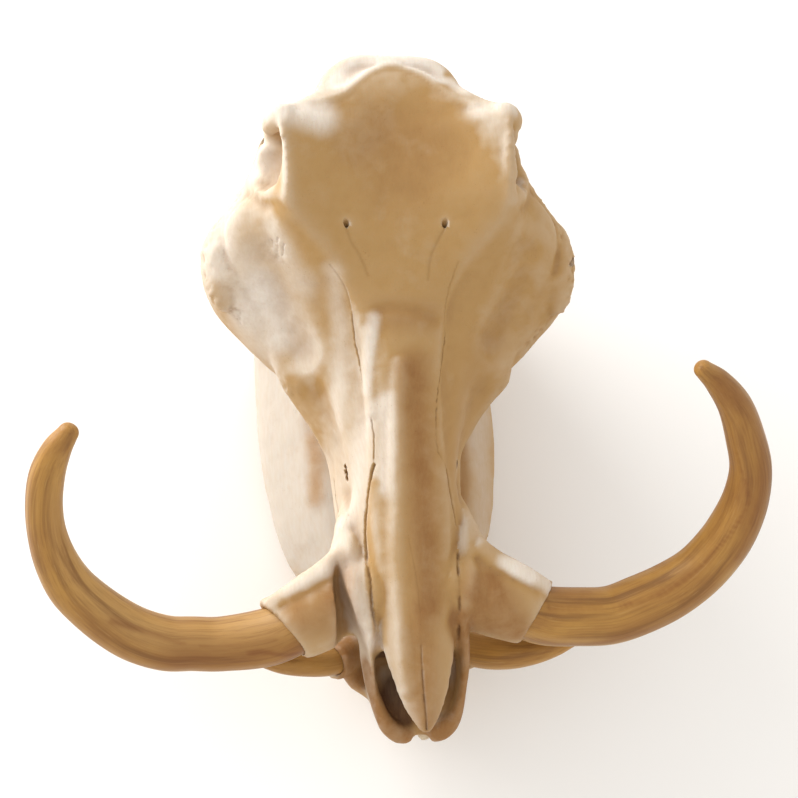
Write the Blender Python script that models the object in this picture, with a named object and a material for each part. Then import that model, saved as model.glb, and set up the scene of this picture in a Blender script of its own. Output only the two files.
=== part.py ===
"""A warthog skull with its lower jaw and its four tusks, life size, standing on the edges of the jaw.

Metres, +Z up. The snout points to -Y, the animal's left is +X, and the floor is z = 0.
The tables of sizes are in millimetres, and mm() turns them into metres.
"""

import math

import bmesh
import bpy
import numpy as np
from mathutils import Matrix, Vector

# Driving sizes, in millimetres
BITE_Z = 79.0  # the plane where the cheek teeth meet
TOUCHING_GAP = 0.35  # what two pieces that touch keep between them
MIDDLE = (-1.6, -18.0)  # the middle of the whole, which becomes the origin
SNOUT_BEND = 2.6  # how far the tip of the snout stands aside
CHEEK_SKEW = 0.055  # how far back the right cheek sits, as a share of its distance from the middle
SKIN_GRAIN = 2.4  # how fine the grown skin of a bone is
SOFTENING = 7  # how many times that skin is smoothed
CRANIUM_FACES = 7300
JAW_FACES = 3400
BONE_COLOUR = (0.62, 0.47, 0.29)
IVORY_COLOUR = (0.42, 0.24, 0.09)
BONE_ROUGHNESS = 0.6
IVORY_ROUGHNESS = 0.4

UP = Vector((0, 0, 1))
BACK = Vector((0, 1, 0))
BOTH = (1, -1)
ONE = (1,)

# The face from the nostrils to the back of the brow, as (y, value)
FACE_ENDS = (-152, 152)
ROOF_Z = (
    (-152, 139), (-120, 148), (-80, 160), (-40, 172), (0, 186), (25, 197), (50, 210),
    (75, 222), (100, 230), (125, 235.5), (145, 239), (158, 238),
)
ROOF_HALF = (
    (-152, 18), (-120, 22), (-80, 24), (-40, 23), (0, 24), (22, 27), (37, 33), (47, 40),
    (58, 50), (66, 58), (74, 62), (124, 63), (134, 50), (144, 40), (158, 36),
)
ROOF_DROP = (
    (-152, 8), (-80, 8), (0, 9), (25, 7), (45, 1), (62, -6), (80, -14), (118, -15),
    (131, -3), (145, 5), (158, 9),
)
WALL_HALF = (
    (-152, 24), (-120, 28), (-80, 31), (-40, 34), (-10, 42), (12, 50), (35, 58), (55, 67),
    (75, 74), (90, 70), (108, 46), (158, 34),
)
WALL_Z = (
    (-152, 118), (-80, 134), (-40, 145), (0, 160), (25, 172), (50, 190), (75, 206),
    (90, 210), (120, 208), (158, 200),
)
CHEEK_HALF = (
    (-152, 29), (-120, 33), (-80, 36), (-40, 38), (-18, 50), (0, 65), (20, 75), (36, 82),
    (52, 92), (74, 95), (92, 84), (108, 56), (130, 44), (158, 34),
)
CHEEK_Z = (
    (-152, 100), (-80, 110), (-40, 112), (-10, 127), (10, 139), (30, 151), (50, 168),
    (70, 183), (90, 189), (158, 172),
)
BASE_HALF = (
    (-152, 25), (-120, 31), (-80, 35), (-40, 37), (0, 42), (30, 46), (52, 44), (70, 36),
    (90, 32), (158, 26),
)
BASE_Z = ((-152, 92), (-80, 94), (10, 94), (36, 100), (52, 112), (66, 128), (90, 140), (158, 148))
PALATE_Z = ((-152, 97), (0, 103), (40, 105), (56, 120), (80, 132), (158, 142))

# The snout in front: the nose bones as (y, z, half width, half thickness), and the floor under them
NOSE = (
    (-112, 139, 16, 6), (-132, 137, 18, 6.5), (-150, 132, 19.5, 7), (-172, 126.5, 15, 6.5),
    (-185, 123, 10, 5.5), (-194, 120.5, 5.5, 4), (-198.5, 119.3, 2.5, 3),
)
SNOUT_FLOOR = ((0, -160, 92), (24, 38, 4.5))

# Bars of bone, as (x, y, z, half height, half thickness)
RAIL = (
    (25, -112, 116, 24, 7), (26, -136, 113, 22, 5), (27.2, -152, 108, 15, 3.7), (26.4, -166, 102, 11, 3.4),
    (23.2, -180, 98, 9.5, 3.7), (18.5, -190, 94.5, 8, 5), (12, -194, 92, 7, 6.5), (5, -195.5, 90.5, 6.5, 6),
)
ARCH = (
    (40, 8, 130, 18, 16), (62, 27, 134, 23, 17), (78, 43, 140, 26, 17), (91, 56, 147, 28, 15.5),
    (96.5, 70, 156, 28, 12.5), (88.5, 84, 168, 23, 11.5), (77.5, 100, 179, 17, 9),
    (69, 114, 188, 13, 9), (61, 126, 188, 13, 13), (50, 136, 184, 16, 15),
)
EYE_RIM = (
    (59, 77, 228, 5, 6), (66, 84, 218, 6, 7), (70, 92, 206, 7, 8), (74, 101, 197, 7, 8),
    (72, 111, 196, 6, 7), (67, 119, 203, 5, 5), (65, 122, 212, 3, 3),
)
BROW_POST = ((56, 120, 241, 8, 8), (64, 121, 238, 7, 7), (68, 121, 229, 5, 5), (67, 122, 222, 3, 3))
CREST = (
    (0, 158, 232, 6, 7), (17, 157.5, 231, 6, 7), (29, 153, 227, 6, 7), (35.5, 146, 218, 6, 7),
    (41, 141, 201, 6, 7), (50, 138, 185, 8, 8), (57, 133, 172, 9, 9),
)
NECK_SPUR = ((38, 138, 168, 10, 9), (38, 141, 148, 9, 6), (36, 139, 126, 6, 4.5), (34, 136, 106, 3.5, 3.5))
EAR_ROOT = ((40, 126, 180, 16, 14), (58, 130, 182, 13, 13), (66, 127, 184, 12, 11))
PALATE_WING = ((20, 44, 112, 14, 5), (19, 60, 112, 15, 3.5), (20, 74, 110, 13, 3), (22, 86, 122, 12, 4))
SHEATH = (
    (18, -113, 122, 23, 23), (40, -122, 118, 21.5, 22), (56, -128, 115, 21, 21.5),
    (68, -132, 111, 20.5, 20.5), (86, -137, 106, 20.5, 20.5),
)
SHEATH_CREST = ((38, -98, 135, 7, 7), (49, -107, 133, 6, 7), (64, -115, 130, 5.5, 6.5), (79, -123, 123, 5, 6))

# Rounded masses of the back of the head, as (centre, radii, turn in degrees)
BRAINCASE = ((0, 120, 184), (42, 36, 44))
OCCIPUT = ((0, 144, 184), (34, 11, 42), (-8, 0, 0))
CONDYLE = ((14, 155, 154), (9, 11, 13), (-25, 0, 12))
EAR_BONE = ((30, 120, 140), (9, 12, 11))
EYE_FLOOR = ((61, 112, 203), (15, 15, 15))
ARCH_TOP = ((97, 61, 169.5), (11, 27, 10), (26, 0, 0))

# Hollows: the eye socket, the passage inside the arch, the gap behind the eye, the fold between
# the snout and the sheath of the tusk, the hole of the spine, and the air passage
EYE_HOLLOW = ((71, 103, 219), (18, 16, 13), (0, 24, 0))
ARCH_PASSAGE = ((61, 99, 152), (17, 40, 30), (-24, 4, 5))
BEHIND_EYE = ((51, 119, 198), (7, 8, 24), (14, 4, 0))
SPINE_HOLE = ((0, 162, 160), (12, 22, 11), (-12, 0, 0))
FOLD_RIGHT = (
    (-41, -98, 146, 6, 2), (-39.5, -116, 138, 14, 4.5), (-37.5, -136, 130, 21, 7.5),
    (-36.5, -156, 124, 24, 9.5), (-36, -178, 120, 24, 11),
)
FOLD_LEFT = (
    (41, -120, 142, 3, 2), (40.5, -136, 139, 5, 3.5), (39, -150, 131, 10, 5.5),
    (37, -164, 124, 17, 8), (36, -178, 120, 20, 9),
)
AIR_PASSAGE = ((0, -160, 112, 13, 19), (0, -140, 115, 15, 19), (0, -118, 117, 13, 16), (0, -100, 118, 8, 10))

# The slanting mouth of the sheath: a block put outside it, turned about Z
MOUTH_PLACE = (74, -133, 110)
MOUTH_TURN = -36
MOUTH_BLOCK = ((30, 0, 0), (60, 90, 120))

# The tusks, root to tip: x, y, z, half width across the curve, half thickness along it
TUSK_UPPER_LEFT = (
    (56, -130, 118, 15.5, 15.5), (78, -135.5, 109, 17.6, 17.6), (101, -137, 105, 17.6, 17.6),
    (120, -137, 104, 17.6, 17.6), (137, -133, 109, 17.8, 17.8), (154, -127, 115, 17.2, 17.2),
    (169, -119, 124, 16.2, 16), (180, -109, 135, 15.6, 15.4), (187, -99, 147, 15, 14.8),
    (192, -86, 161, 13.8, 13.5), (192, -72, 177, 12.6, 12.2), (186, -58, 192, 11.5, 11.2),
    (178, -45, 206, 10, 9.8), (167, -35, 217, 8, 7.8), (157, -29, 224, 5.6, 5.4),
)
TUSK_UPPER_RIGHT = (
    (-56, -130, 116, 15.5, 15.5), (-80, -136.5, 106, 17, 17), (-107, -138, 102, 16, 16),
    (-124, -137, 103, 15.8, 15.8), (-139, -136, 105, 16, 16), (-155, -131, 110, 15.8, 15.8),
    (-168, -124, 118, 15.2, 15.2), (-180, -115, 128, 14.4, 14.4), (-189, -106, 138, 13.6, 13.6),
    (-195, -95, 150, 12.2, 12.2), (-198, -83, 164, 10.8, 10.8), (-198, -71, 177, 10.2, 10.2),
    (-195, -59, 190, 9.8, 9.8), (-189, -49, 201, 8.2, 8.2), (-182, -42, 209, 5.8, 5.8),
)
TUSK_LOWER_LEFT = (
    (32, -138, 56, 9.5, 9), (44, -145.5, 65, 10.8, 10.4), (58, -149.5, 73, 10.8, 10.2),
    (73, -151, 81, 9.4, 8.8), (87, -150, 89, 7.2, 6.8), (97, -148.5, 97, 4.5, 4.2),
)
TUSK_LOWER_RIGHT = (
    (-32, -141, 56, 9.5, 8.5), (-44, -146, 65, 9.5, 8.5), (-57, -147.5, 73, 9, 8),
    (-71, -148, 81, 7.4, 6.6), (-82, -147, 88, 5.4, 4.8), (-89, -146, 93, 3, 3),
)
TUSK_PLANE = Vector((0, 0.743, -0.669))  # square to the plane in which the tusks curve
TUSK_RINGS = 26
TUSK_SIDES = 14
TUSK_TIP_RINGS = 4

# One half of the lower jaw from the chin to the back, as (y, value)
JAW_ENDS = (-118, 118)
JAW_OUTER = (
    (-118, 34), (-102, 49), (-80, 61), (-62, 68), (-42, 72), (-20, 75), (10, 77), (40, 77),
    (75, 75), (100, 72), (118, 66),
)
JAW_INNER = (
    (-118, 8), (-100, 12), (-80, 17), (-40, 19), (0, 20), (40, 22), (60, 30), (80, 46), (118, 52),
)
JAW_TOP = ((-118, 60), (-100, 67), (-80, 68), (-40, 70), (50, 70), (62, 78), (80, 90), (118, 90))
JAW_BASE = (
    (-118, 8), (-102, 3), (-90, 4), (-40, 7), (20, 6), (58, 1), (76, -1.5), (96, -1.5),
    (108, 8), (118, 24),
)
# The front of the jaw, where its halves are one, as (y, half width, top, base)
CHIN = (
    (-86, 34, 62, 10), (-96, 43, 65, 3), (-106, 43, 66, -1.5), (-128, 38, 62, -1.5),
    (-142, 37, 60, 5), (-154, 35, 61, 16), (-161, 31, 62, 24), (-167, 23, 64, 32),
    (-177, 19, 66, 45), (-186, 15, 68, 54),
)
LOWER_SHEATH = ((22, -134, 50, 14, 13), (33, -142, 58, 13.5, 12), (42, -147, 65, 12.5, 11))
# The upright plate behind the teeth, the knob of the joint on its neck, and the spur in front
RAMUS = (
    (66, 92, 20, 26, 9), (66, 92, 60, 29, 7.5), (63, 94, 100, 27, 6.5), (60, 98, 130, 24, 6),
    (60, 106, 148, 15, 6),
)
JOINT_NECK = ((61, 108, 130, 10, 7), (62, 113, 146, 8, 8), (62, 114, 157, 6, 9))
JOINT_KNOB = ((62, 114, 158), (14, 8, 8.5))
SPUR = ((60, 84, 128, 12, 6), (57, 84, 148, 9, 5), (55, 88, 164, 5, 3.5), (54, 91, 170, 2.5, 2.5))
GROUND = ((0, 0, -20), (300, 500, 40))

# Cheek teeth from the front: y of the middle, across, along, lobes
CHEEK_TEETH = ((-42, 10, 9, 1), (-31, 13, 11, 2), (-18, 15, 14, 2), (0, 17, 20, 3), (29, 18, 36, 6))
TOOTH_LINE = ((-45, 29), (45, 27))  # how far the row stands from the middle, as (y, x)
LOWER_ROW_INSET = 1.5
UPPER_TOOTH_HEIGHT = 20
LOWER_TOOTH_HEIGHT = 16
LOBE_DEPTH = 0.13
INCISORS_UPPER = (((9, -189, 90, 5, 5), (8, -193, 84, 4.5, 4.5), (5, -195, 79, 3, 3.5)),)
INCISORS_LOWER = (
    ((4.3, -178, 61, 4, 3.6), (4.3, -185, 67, 3.8, 3.4), (4, -188, 71, 2.6, 2.6)),
    ((10.5, -176, 60, 4, 3.4), (10.5, -182, 66, 3.6, 3.2), (10.5, -185, 70, 2.6, 2.6)),
    ((15.5, -169, 59, 3.4, 3), (15.8, -175, 65, 3, 2.8), (15.8, -178, 68, 2.2, 2.2)),
)

# Shallow dents and swellings of the skin: path, radius, height, sides
CRANIUM_STROKES = (
    (((0, 96, 231),), 46, -3.0, BOTH),  # the dished brow
    (((58, 18, 164), (74, 60, 190)), 18, -2.0, BOTH),  # the hollow under the eye
    (((50, -12, 148), (38, -60, 134)), 17, -3.0, BOTH),  # the hollow flank of the snout
    (((0, -40, 173), (0, -140, 146)), 15, 0.8, BOTH),  # the rounded ridge of the nose
    (((69, -1, 132),), 12, 2.5, ONE),  # the left cheek's fuller front edge
)
JAW_STROKES = ((((72, 92, 60), (66, 96, 100)), 26, -3.0, BOTH),)  # the hollow of the chewing muscle


def mm(*values):
    """Millimetres as metres: one number, or a point."""
    return values[0] * 0.001 if len(values) == 1 else Vector(values) * 0.001


def column(table, index):
    """One column of a table whose first column is y, as (y, value), from front to back."""
    return tuple(sorted((row[0], row[index]) for row in table))


def profile(knots, at):
    """A smooth curve through (place, value) knots, without overshoot, read at one place."""
    places, values = (np.array(side, float) for side in zip(*knots))
    steps = np.diff(places)
    slopes = np.diff(values) / steps
    turning = np.zeros(len(places))
    for i in range(1, len(places) - 1):
        if slopes[i - 1] * slopes[i] > 0:
            turning[i] = 2 * slopes[i - 1] * slopes[i] / (slopes[i - 1] + slopes[i])
    turning[0], turning[-1] = slopes[0], slopes[-1]
    at = min(max(at, places[0]), places[-1])
    i = min(int(np.searchsorted(places, at, side="right")) - 1, len(steps) - 1)
    t = (at - places[i]) / steps[i]
    return (
        (2 * t**3 - 3 * t**2 + 1) * values[i]
        + (t**3 - 2 * t**2 + t) * steps[i] * turning[i]
        + (3 * t**2 - 2 * t**3) * values[i + 1]
        + (t**3 - t**2) * steps[i] * turning[i + 1]
    )


def between(a, b, c, d, t):
    """A point of the smooth curve that runs from b to c, with a before it and d after it."""
    bend = 2 * a - 5 * b + 4 * c - d
    return 0.5 * (2 * b + (c - a) * t + bend * t**2 + (3 * b - a - 3 * c + d) * t**3)


def smooth_path(points, count):
    """count points on a smooth open curve through the given ones."""
    points = [Vector(p) for p in points]
    ends = [2 * points[0] - points[1]] + points + [2 * points[-1] - points[-2]]
    path = []
    for k in range(count):
        s = k / (count - 1) * (len(points) - 1)
        i = min(int(s), len(points) - 2)
        path.append(between(*ends[i : i + 4], s - i))
    return path


def closed_curve(corners, count):
    """count points round a smooth closed curve through the corners."""
    n = len(corners)
    ring = []
    for k in range(count):
        s = k / count * n
        i = int(s)
        ring.append(between(*(corners[(i + j) % n] for j in (-1, 0, 1, 2)), s - i))
    return ring


def cross_section(half, top, base, y, count):
    """A closed ring at y, from the (x, z) corners of one half and the middle's top and base."""
    corners = [(0, top)] + half + [(0, base)] + [(-x, z) for x, z in reversed(half)]
    return closed_curve([Vector((x, y, z)) for x, z in corners], count)


def new_object(name, bm):
    """A mesh object from bm, with its faces pointing out."""
    bmesh.ops.recalc_face_normals(bm, faces=bm.faces)
    mesh = bpy.data.meshes.new(name)
    bm.to_mesh(mesh)
    bm.free()
    made = bpy.data.objects.new(name, mesh)
    bpy.context.scene.collection.objects.link(made)
    return made


def loft(name, rings):
    """A closed skin over rings of points, in millimetres, with both ends capped."""
    bm = bmesh.new()
    rows = [[bm.verts.new(mm(*p)) for p in ring] for ring in rings]
    for lower, upper in zip(rows, rows[1:]):
        for k in range(len(lower)):
            j = (k + 1) % len(lower)
            bm.faces.new((lower[k], lower[j], upper[j], upper[k]))
    for row in (rows[0], rows[-1]):
        bm.faces.new(row)
    bmesh.ops.triangulate(bm, faces=[f for f in bm.faces if len(f.verts) > 4])
    return new_object(name, bm)


def oval(centre, up, side, count):
    """A ring of points round centre, from the two half axes of an oval."""
    turns = (math.tau * j / count for j in range(count))
    return [centre + up * math.cos(a) + side * math.sin(a) for a in turns]


def sweep(name, stations, count, sides=20, lean=UP):
    """A bar of oval section through its stations: x, y, z, half height, half thickness."""
    centres = smooth_path([s[:3] for s in stations], count)
    sizes = smooth_path([(s[3], s[4], 0) for s in stations], count)
    rings = []
    for k, (centre, size) in enumerate(zip(centres, sizes)):
        along = (centres[min(k + 1, count - 1)] - centres[max(k - 1, 0)]).normalized()
        side = along.cross(lean).normalized()
        up = side.cross(along).normalized()
        rings.append(oval(centre, up * size.x, side * size.y, sides))
    return loft(name, rings)


def ellipsoid(name, centre, radii, turn=(0, 0, 0)):
    """An ellipsoid turned by degrees about X, then Y, then Z."""
    bm = bmesh.new()
    bmesh.ops.create_uvsphere(bm, u_segments=24, v_segments=14, radius=1)
    turned = Matrix.Identity(4)
    for axis, angle in zip("XYZ", turn):
        turned = Matrix.Rotation(math.radians(angle), 4, axis) @ turned
    shape = Matrix.Translation(mm(*centre)) @ turned @ Matrix.Diagonal((*mm(*radii), 1))
    bmesh.ops.transform(bm, matrix=shape, verts=bm.verts)
    return new_object(name, bm)


def block(name, centre, size):
    bm = bmesh.new()
    bmesh.ops.create_cube(bm, size=1)
    shape = Matrix.Translation(mm(*centre)) @ Matrix.Diagonal((*mm(*size), 1))
    bmesh.ops.transform(bm, matrix=shape, verts=bm.verts)
    return new_object(name, bm)


def both_sides(piece):
    """The piece, and the same piece on the other side of the head."""
    bm = bmesh.new()
    bm.from_mesh(piece.data)
    bmesh.ops.scale(bm, vec=(-1, 1, 1), verts=bm.verts)
    return [piece, new_object(piece.name + "_mirror", bm)]


def apply_modifiers(obj):
    """Replaces the mesh by what its modifiers make of it."""
    graph = bpy.context.evaluated_depsgraph_get()
    result = bpy.data.meshes.new_from_object(obj.evaluated_get(graph))
    obj.modifiers.clear()
    obj.data = result


def combine(obj, others, operation):
    """Joins the others to obj, or cuts them out of it, and removes them."""
    group = bpy.data.collections.new(obj.name + "_" + operation.lower())
    for other in others:
        group.objects.link(other)
    boolean = obj.modifiers.new(operation.title(), "BOOLEAN")
    boolean.operation = operation
    boolean.operand_type = "COLLECTION"
    boolean.collection = group
    apply_modifiers(obj)
    for other in others:
        bpy.data.objects.remove(other)
    bpy.data.collections.remove(group)


def island_of(start, left):
    """The vertices joined to start, taken out of the set that is left."""
    island, edge = {start}, [start]
    while edge:
        for link in edge.pop().link_edges:
            for vert in link.verts:
                if vert in left:
                    left.discard(vert)
                    island.add(vert)
                    edge.append(vert)
    return island


def keep_largest(obj):
    """Drops every loose scrap, and keeps the largest closed surface."""
    bm = bmesh.new()
    bm.from_mesh(obj.data)
    left, islands = set(bm.verts), []
    while left:
        islands.append(island_of(left.pop(), left))
    islands.sort(key=len)
    for island in islands[:-1]:
        bmesh.ops.delete(bm, geom=list(island), context="VERTS")
    bm.to_mesh(obj.data)
    bm.free()


def grow_together(name, pieces, hollows):
    """Overlapping pieces, less the hollows, as one bone: a fine skin over all, its joins smoothed."""
    bone = pieces[0]
    bone.name = bone.data.name = name
    combine(bone, pieces[1:], "UNION")
    if hollows:
        combine(bone, hollows, "DIFFERENCE")
    remesh = bone.modifiers.new("Skin", "REMESH")
    remesh.mode = "VOXEL"
    remesh.voxel_size = mm(SKIN_GRAIN)
    soften = bone.modifiers.new("Soften", "SMOOTH")
    soften.factor = 0.5
    soften.iterations = SOFTENING
    apply_modifiers(bone)
    return bone


def read_points(mesh, kind="co"):
    """A vertex value of the mesh as rows of x, y, z."""
    values = np.empty(len(mesh.vertices) * 3)
    mesh.vertices.foreach_get(kind, values)
    return values.reshape(-1, 3)


def move_points(mesh, co):
    mesh.vertices.foreach_set("co", co.ravel())
    mesh.update()


def stroke(obj, path, radius, height, sides):
    """Raises the skin within radius of a path, or hollows it where height is negative."""
    co, normal = read_points(obj.data), read_points(obj.data, "normal")
    marks = smooth_path(path, 24) if len(path) > 1 else [Vector(path[0])]
    near = np.full(len(co), np.inf)
    for side in sides:
        for mark in marks:
            gap = np.linalg.norm(co * 1000 - (side * mark.x, mark.y, mark.z), axis=1)
            near = np.minimum(near, gap)
    share = np.clip(1 - (near / radius) ** 2, 0, 1) ** 2
    move_points(obj.data, co + normal * (share * mm(height))[:, None])


def ease(t):
    """From 0 to 1 without a jerk, as t goes from 0 to 1."""
    t = np.clip(t, 0, 1)
    return t * t * (3 - 2 * t)


def lopsided(obj):
    """A real head's unevenness: one cheek sits further back, and the snout bends a little."""
    co = read_points(obj.data)
    x, y = co[:, 0] * 1000, co[:, 1] * 1000
    bend = ease((-105 - y) / 90)
    on_cheeks = ease((y + 60) / 60) * (1 - 0.6 * ease((y - 70) / 30))
    co[:, 0] += mm(SNOUT_BEND) * bend
    co[:, 1] -= mm(CHEEK_SKEW) * x * on_cheeks
    move_points(obj.data, co)


def thin_out(obj, faces):
    """Fewer triangles, where the surface is flattest."""
    obj.data.calc_loop_triangles()
    decimate = obj.modifiers.new("Fewer", "DECIMATE")
    decimate.ratio = faces / len(obj.data.loop_triangles)
    apply_modifiers(obj)


def face_ring(y):
    """One cross-section of the face, from the roof round one side to the palate and back."""
    roof, roof_half, drop = (profile(table, y) for table in (ROOF_Z, ROOF_HALF, ROOF_DROP))
    base_half, base, palate = (profile(table, y) for table in (BASE_HALF, BASE_Z, PALATE_Z))
    half = [
        (roof_half * 0.5, roof - drop * 0.22),
        (roof_half * 0.88, roof - drop * 0.75),
        (roof_half, roof - drop - 4),
        (profile(WALL_HALF, y), profile(WALL_Z, y)),
        (profile(CHEEK_HALF, y), profile(CHEEK_Z, y)),
        (base_half, base),
        (base_half * 0.62, base * 0.6 + palate * 0.4),
    ]
    return cross_section(half, roof, palate, y, 64)


def face():
    return loft("face", [face_ring(y) for y in np.linspace(*FACE_ENDS, 48)])


def around_the_eye():
    """The cheek arch, the rim of the eye socket, and the post that comes down to it from the brow."""
    return [
        *both_sides(sweep("arch", ARCH, 40)),
        *both_sides(sweep("eye_rim", EYE_RIM, 24, lean=Vector((1, 0, 0.3)))),
        *both_sides(sweep("brow_post", BROW_POST, 12, lean=BACK)),
        *both_sides(ellipsoid("eye_floor", *EYE_FLOOR)),
        *both_sides(ellipsoid("arch_top", *ARCH_TOP)),
    ]


def back_of_head():
    """The braincase, the crest that runs over it from ear to ear, and what carries the neck."""
    over = [(-x, y, z, high, thick) for x, y, z, high, thick in CREST[:0:-1]] + list(CREST)
    return [
        sweep("crest", over, 48, lean=BACK),
        ellipsoid("braincase", *BRAINCASE),
        ellipsoid("occiput", *OCCIPUT),
        *both_sides(ellipsoid("condyle", *CONDYLE)),
        *both_sides(ellipsoid("ear_bone", *EAR_BONE)),
        *both_sides(sweep("neck_spur", NECK_SPUR, 16, lean=BACK)),
        *both_sides(sweep("ear_root", EAR_ROOT, 12)),
        *both_sides(sweep("palate_wing", PALATE_WING, 16)),
    ]


def nose_bones():
    """The pair of nose bones, arched across and tapering to a point."""
    tables = [column(NOSE, j) for j in (1, 2, 3)]
    rings = []
    for y in np.linspace(NOSE[-1][0], NOSE[0][0], 16):
        z, half, thick = (profile(table, y) for table in tables)
        side = [(half * 0.6, z + thick * 0.8), (half, z - thick * 0.2), (half * 0.9, z - thick)]
        rings.append(cross_section(side, z + thick, z - thick * 0.7, y, 24))
    return loft("nose_bones", rings)


def snout():
    """The nose bones over the two rails, and the floor between them."""
    return [nose_bones(), ellipsoid("snout_floor", *SNOUT_FLOOR), *both_sides(sweep("rail", RAIL, 24))]


def tusk_sheaths():
    """The sheaths of bone round the roots of the upper tusks, with the crest along their backs."""
    return [
        *both_sides(sweep("sheath", SHEATH, 20, sides=24)),
        *both_sides(sweep("sheath_crest", SHEATH_CREST, 14)),
    ]


def cranium_hollows():
    """Everything that is open in the bone, and what trims the mouths of the sheaths."""
    mouth = block("mouth", *MOUTH_BLOCK)
    turn = Matrix.Rotation(math.radians(MOUTH_TURN), 4, "Z")
    mouth.data.transform(Matrix.Translation(mm(*MOUTH_PLACE)) @ turn)
    pairs = [ellipsoid("hollow", *one) for one in (EYE_HOLLOW, ARCH_PASSAGE, BEHIND_EYE)]
    hollows = [hollow for one in (*pairs, mouth) for hollow in both_sides(one)]
    ways = (FOLD_RIGHT, FOLD_LEFT, AIR_PASSAGE)
    return hollows + [sweep("way", one, 16) for one in ways] + [ellipsoid("spine_hole", *SPINE_HOLE)]


def tusk(name, stations, spare=0.0):
    """A tusk with a rounded tip. spare makes it thicker all round and longer at the root, as a cutter."""
    root, second = Vector(stations[0][:3]), Vector(stations[1][:3])
    root += (root - second).normalized() * spare
    centres = smooth_path([root] + [s[:3] for s in stations[1:]], TUSK_RINGS)
    sizes = smooth_path([(s[3] + spare, s[4] + spare, 0) for s in stations], TUSK_RINGS)
    rings = []
    for k, (centre, size) in enumerate(zip(centres, sizes)):
        along = (centres[min(k + 1, TUSK_RINGS - 1)] - centres[max(k - 1, 0)]).normalized()
        across = along.cross(TUSK_PLANE).normalized()
        through = across.cross(along).normalized()
        rings.append(oval(centre, through * size.x, across * size.y, TUSK_SIDES))
    along = (centres[-1] - centres[-2]).normalized()
    last, centre, reach = rings[-1], centres[-1], sizes[-1].x
    for k in range(1, TUSK_TIP_RINGS):
        turn = math.pi / 2 * k / TUSK_TIP_RINGS
        tip = centre + along * (reach * math.sin(turn))
        rings.append([tip + (p - centre) * math.cos(turn) for p in last])
    return loft(name, rings)


def jaw_half():
    """One side of the jaw's body: the tooth row inside, and the cheek bulging outwards."""
    rings = []
    for y in np.linspace(*JAW_ENDS, 40):
        outer, inner, top, base = (profile(t, y) for t in (JAW_OUTER, JAW_INNER, JAW_TOP, JAW_BASE))
        deep, wide = top - base, outer - inner
        corners = [
            (inner + wide * 0.10, top),
            (inner + wide * 0.42, top - 1),
            (inner + wide * 0.78, top - deep * 0.30),
            (outer, base + deep * 0.42),
            (inner + wide * 0.90, base + deep * 0.14),
            (inner + wide * 0.62, base),
            (inner + wide * 0.34, base + deep * 0.10),
            (inner, base + deep * 0.45),
        ]
        rings.append(closed_curve([Vector((x, y, z)) for x, z in corners], 32))
    return loft("jaw_half", rings)


def chin():
    """The front of the jaw, where its halves are one, dished on top between the tusks."""
    tables = [column(CHIN, j) for j in (1, 2, 3)]
    rings = []
    for y in np.linspace(CHIN[-1][0], CHIN[0][0], 28):
        half, top, base = (profile(table, y) for table in tables)
        deep = top - base
        side = [
            (half * 0.6, top - 3),
            (half * 0.92, top),
            (half, top - deep * 0.35),
            (half * 0.7, base + deep * 0.1),
        ]
        rings.append(cross_section(side, top - 6, base, y, 32))
    return loft("chin", rings)


def jaw_pieces():
    """Both halves of the jaw, the chin, the sheaths of the lower tusks, and the upright plates."""
    return [
        *both_sides(jaw_half()),
        chin(),
        *both_sides(sweep("lower_sheath", LOWER_SHEATH, 10)),
        *both_sides(sweep("ramus", RAMUS, 24, lean=BACK)),
        *both_sides(ellipsoid("joint_knob", *JOINT_KNOB)),
        *both_sides(sweep("joint_neck", JOINT_NECK, 10, lean=BACK)),
        *both_sides(sweep("spur", SPUR, 12, lean=BACK)),
    ]


def tooth(name, centre, across, along, lobes, height):
    """A cheek tooth: an upright block with a lobed outline, standing on centre."""
    points = 4 * lobes + 6
    ring = []
    for k in range(points):
        c, s = math.cos(math.tau * k / points), math.sin(math.tau * k / points)
        x = across / 2 * math.copysign(abs(c) ** 0.6, c)
        y = along / 2 * math.copysign(abs(s) ** 0.6, s)
        wave = 0.5 + 0.5 * math.cos(math.tau * lobes * (y / along + 0.5))
        ring.append((centre[0] + x * (1 - LOBE_DEPTH * wave), centre[1] + y))
    return loft(name, [[(x, y, z) for x, y in ring] for z in (centre[2], centre[2] + height)])


def tooth_row(upper):
    """The cheek teeth of both sides, meeting the other row at the bite with a gap."""
    height = UPPER_TOOTH_HEIGHT if upper else LOWER_TOOTH_HEIGHT
    low = BITE_Z + TOUCHING_GAP / 2 if upper else BITE_Z - TOUCHING_GAP / 2 - height
    inset = 0 if upper else LOWER_ROW_INSET
    teeth = []
    for k, (y, across, along, lobes) in enumerate(CHEEK_TEETH):
        x = profile(TOOTH_LINE, y) - inset
        teeth += both_sides(tooth(f"tooth_{k}", (x, y, low), across, along, lobes, height))
    return teeth


def incisors(pegs):
    return [one for k, peg in enumerate(pegs) for one in both_sides(sweep(f"incisor_{k}", peg, 6, sides=8))]


def cut_sockets(bone, tusks):
    """Room for the roots of the tusks, with a gap all round."""
    combine(bone, [tusk("socket", stations, TOUCHING_GAP) for stations in tusks], "DIFFERENCE")
    keep_largest(bone)


def cranium():
    pieces = [face()] + around_the_eye() + back_of_head() + snout() + tusk_sheaths()
    bone = grow_together("cranium", pieces, cranium_hollows())
    lopsided(bone)
    for one in CRANIUM_STROKES:
        stroke(bone, *one)
    keep_largest(bone)
    thin_out(bone, CRANIUM_FACES)
    combine(bone, tooth_row(True) + incisors(INCISORS_UPPER), "UNION")
    cut_sockets(bone, (TUSK_UPPER_RIGHT, TUSK_UPPER_LEFT))
    return bone


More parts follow.
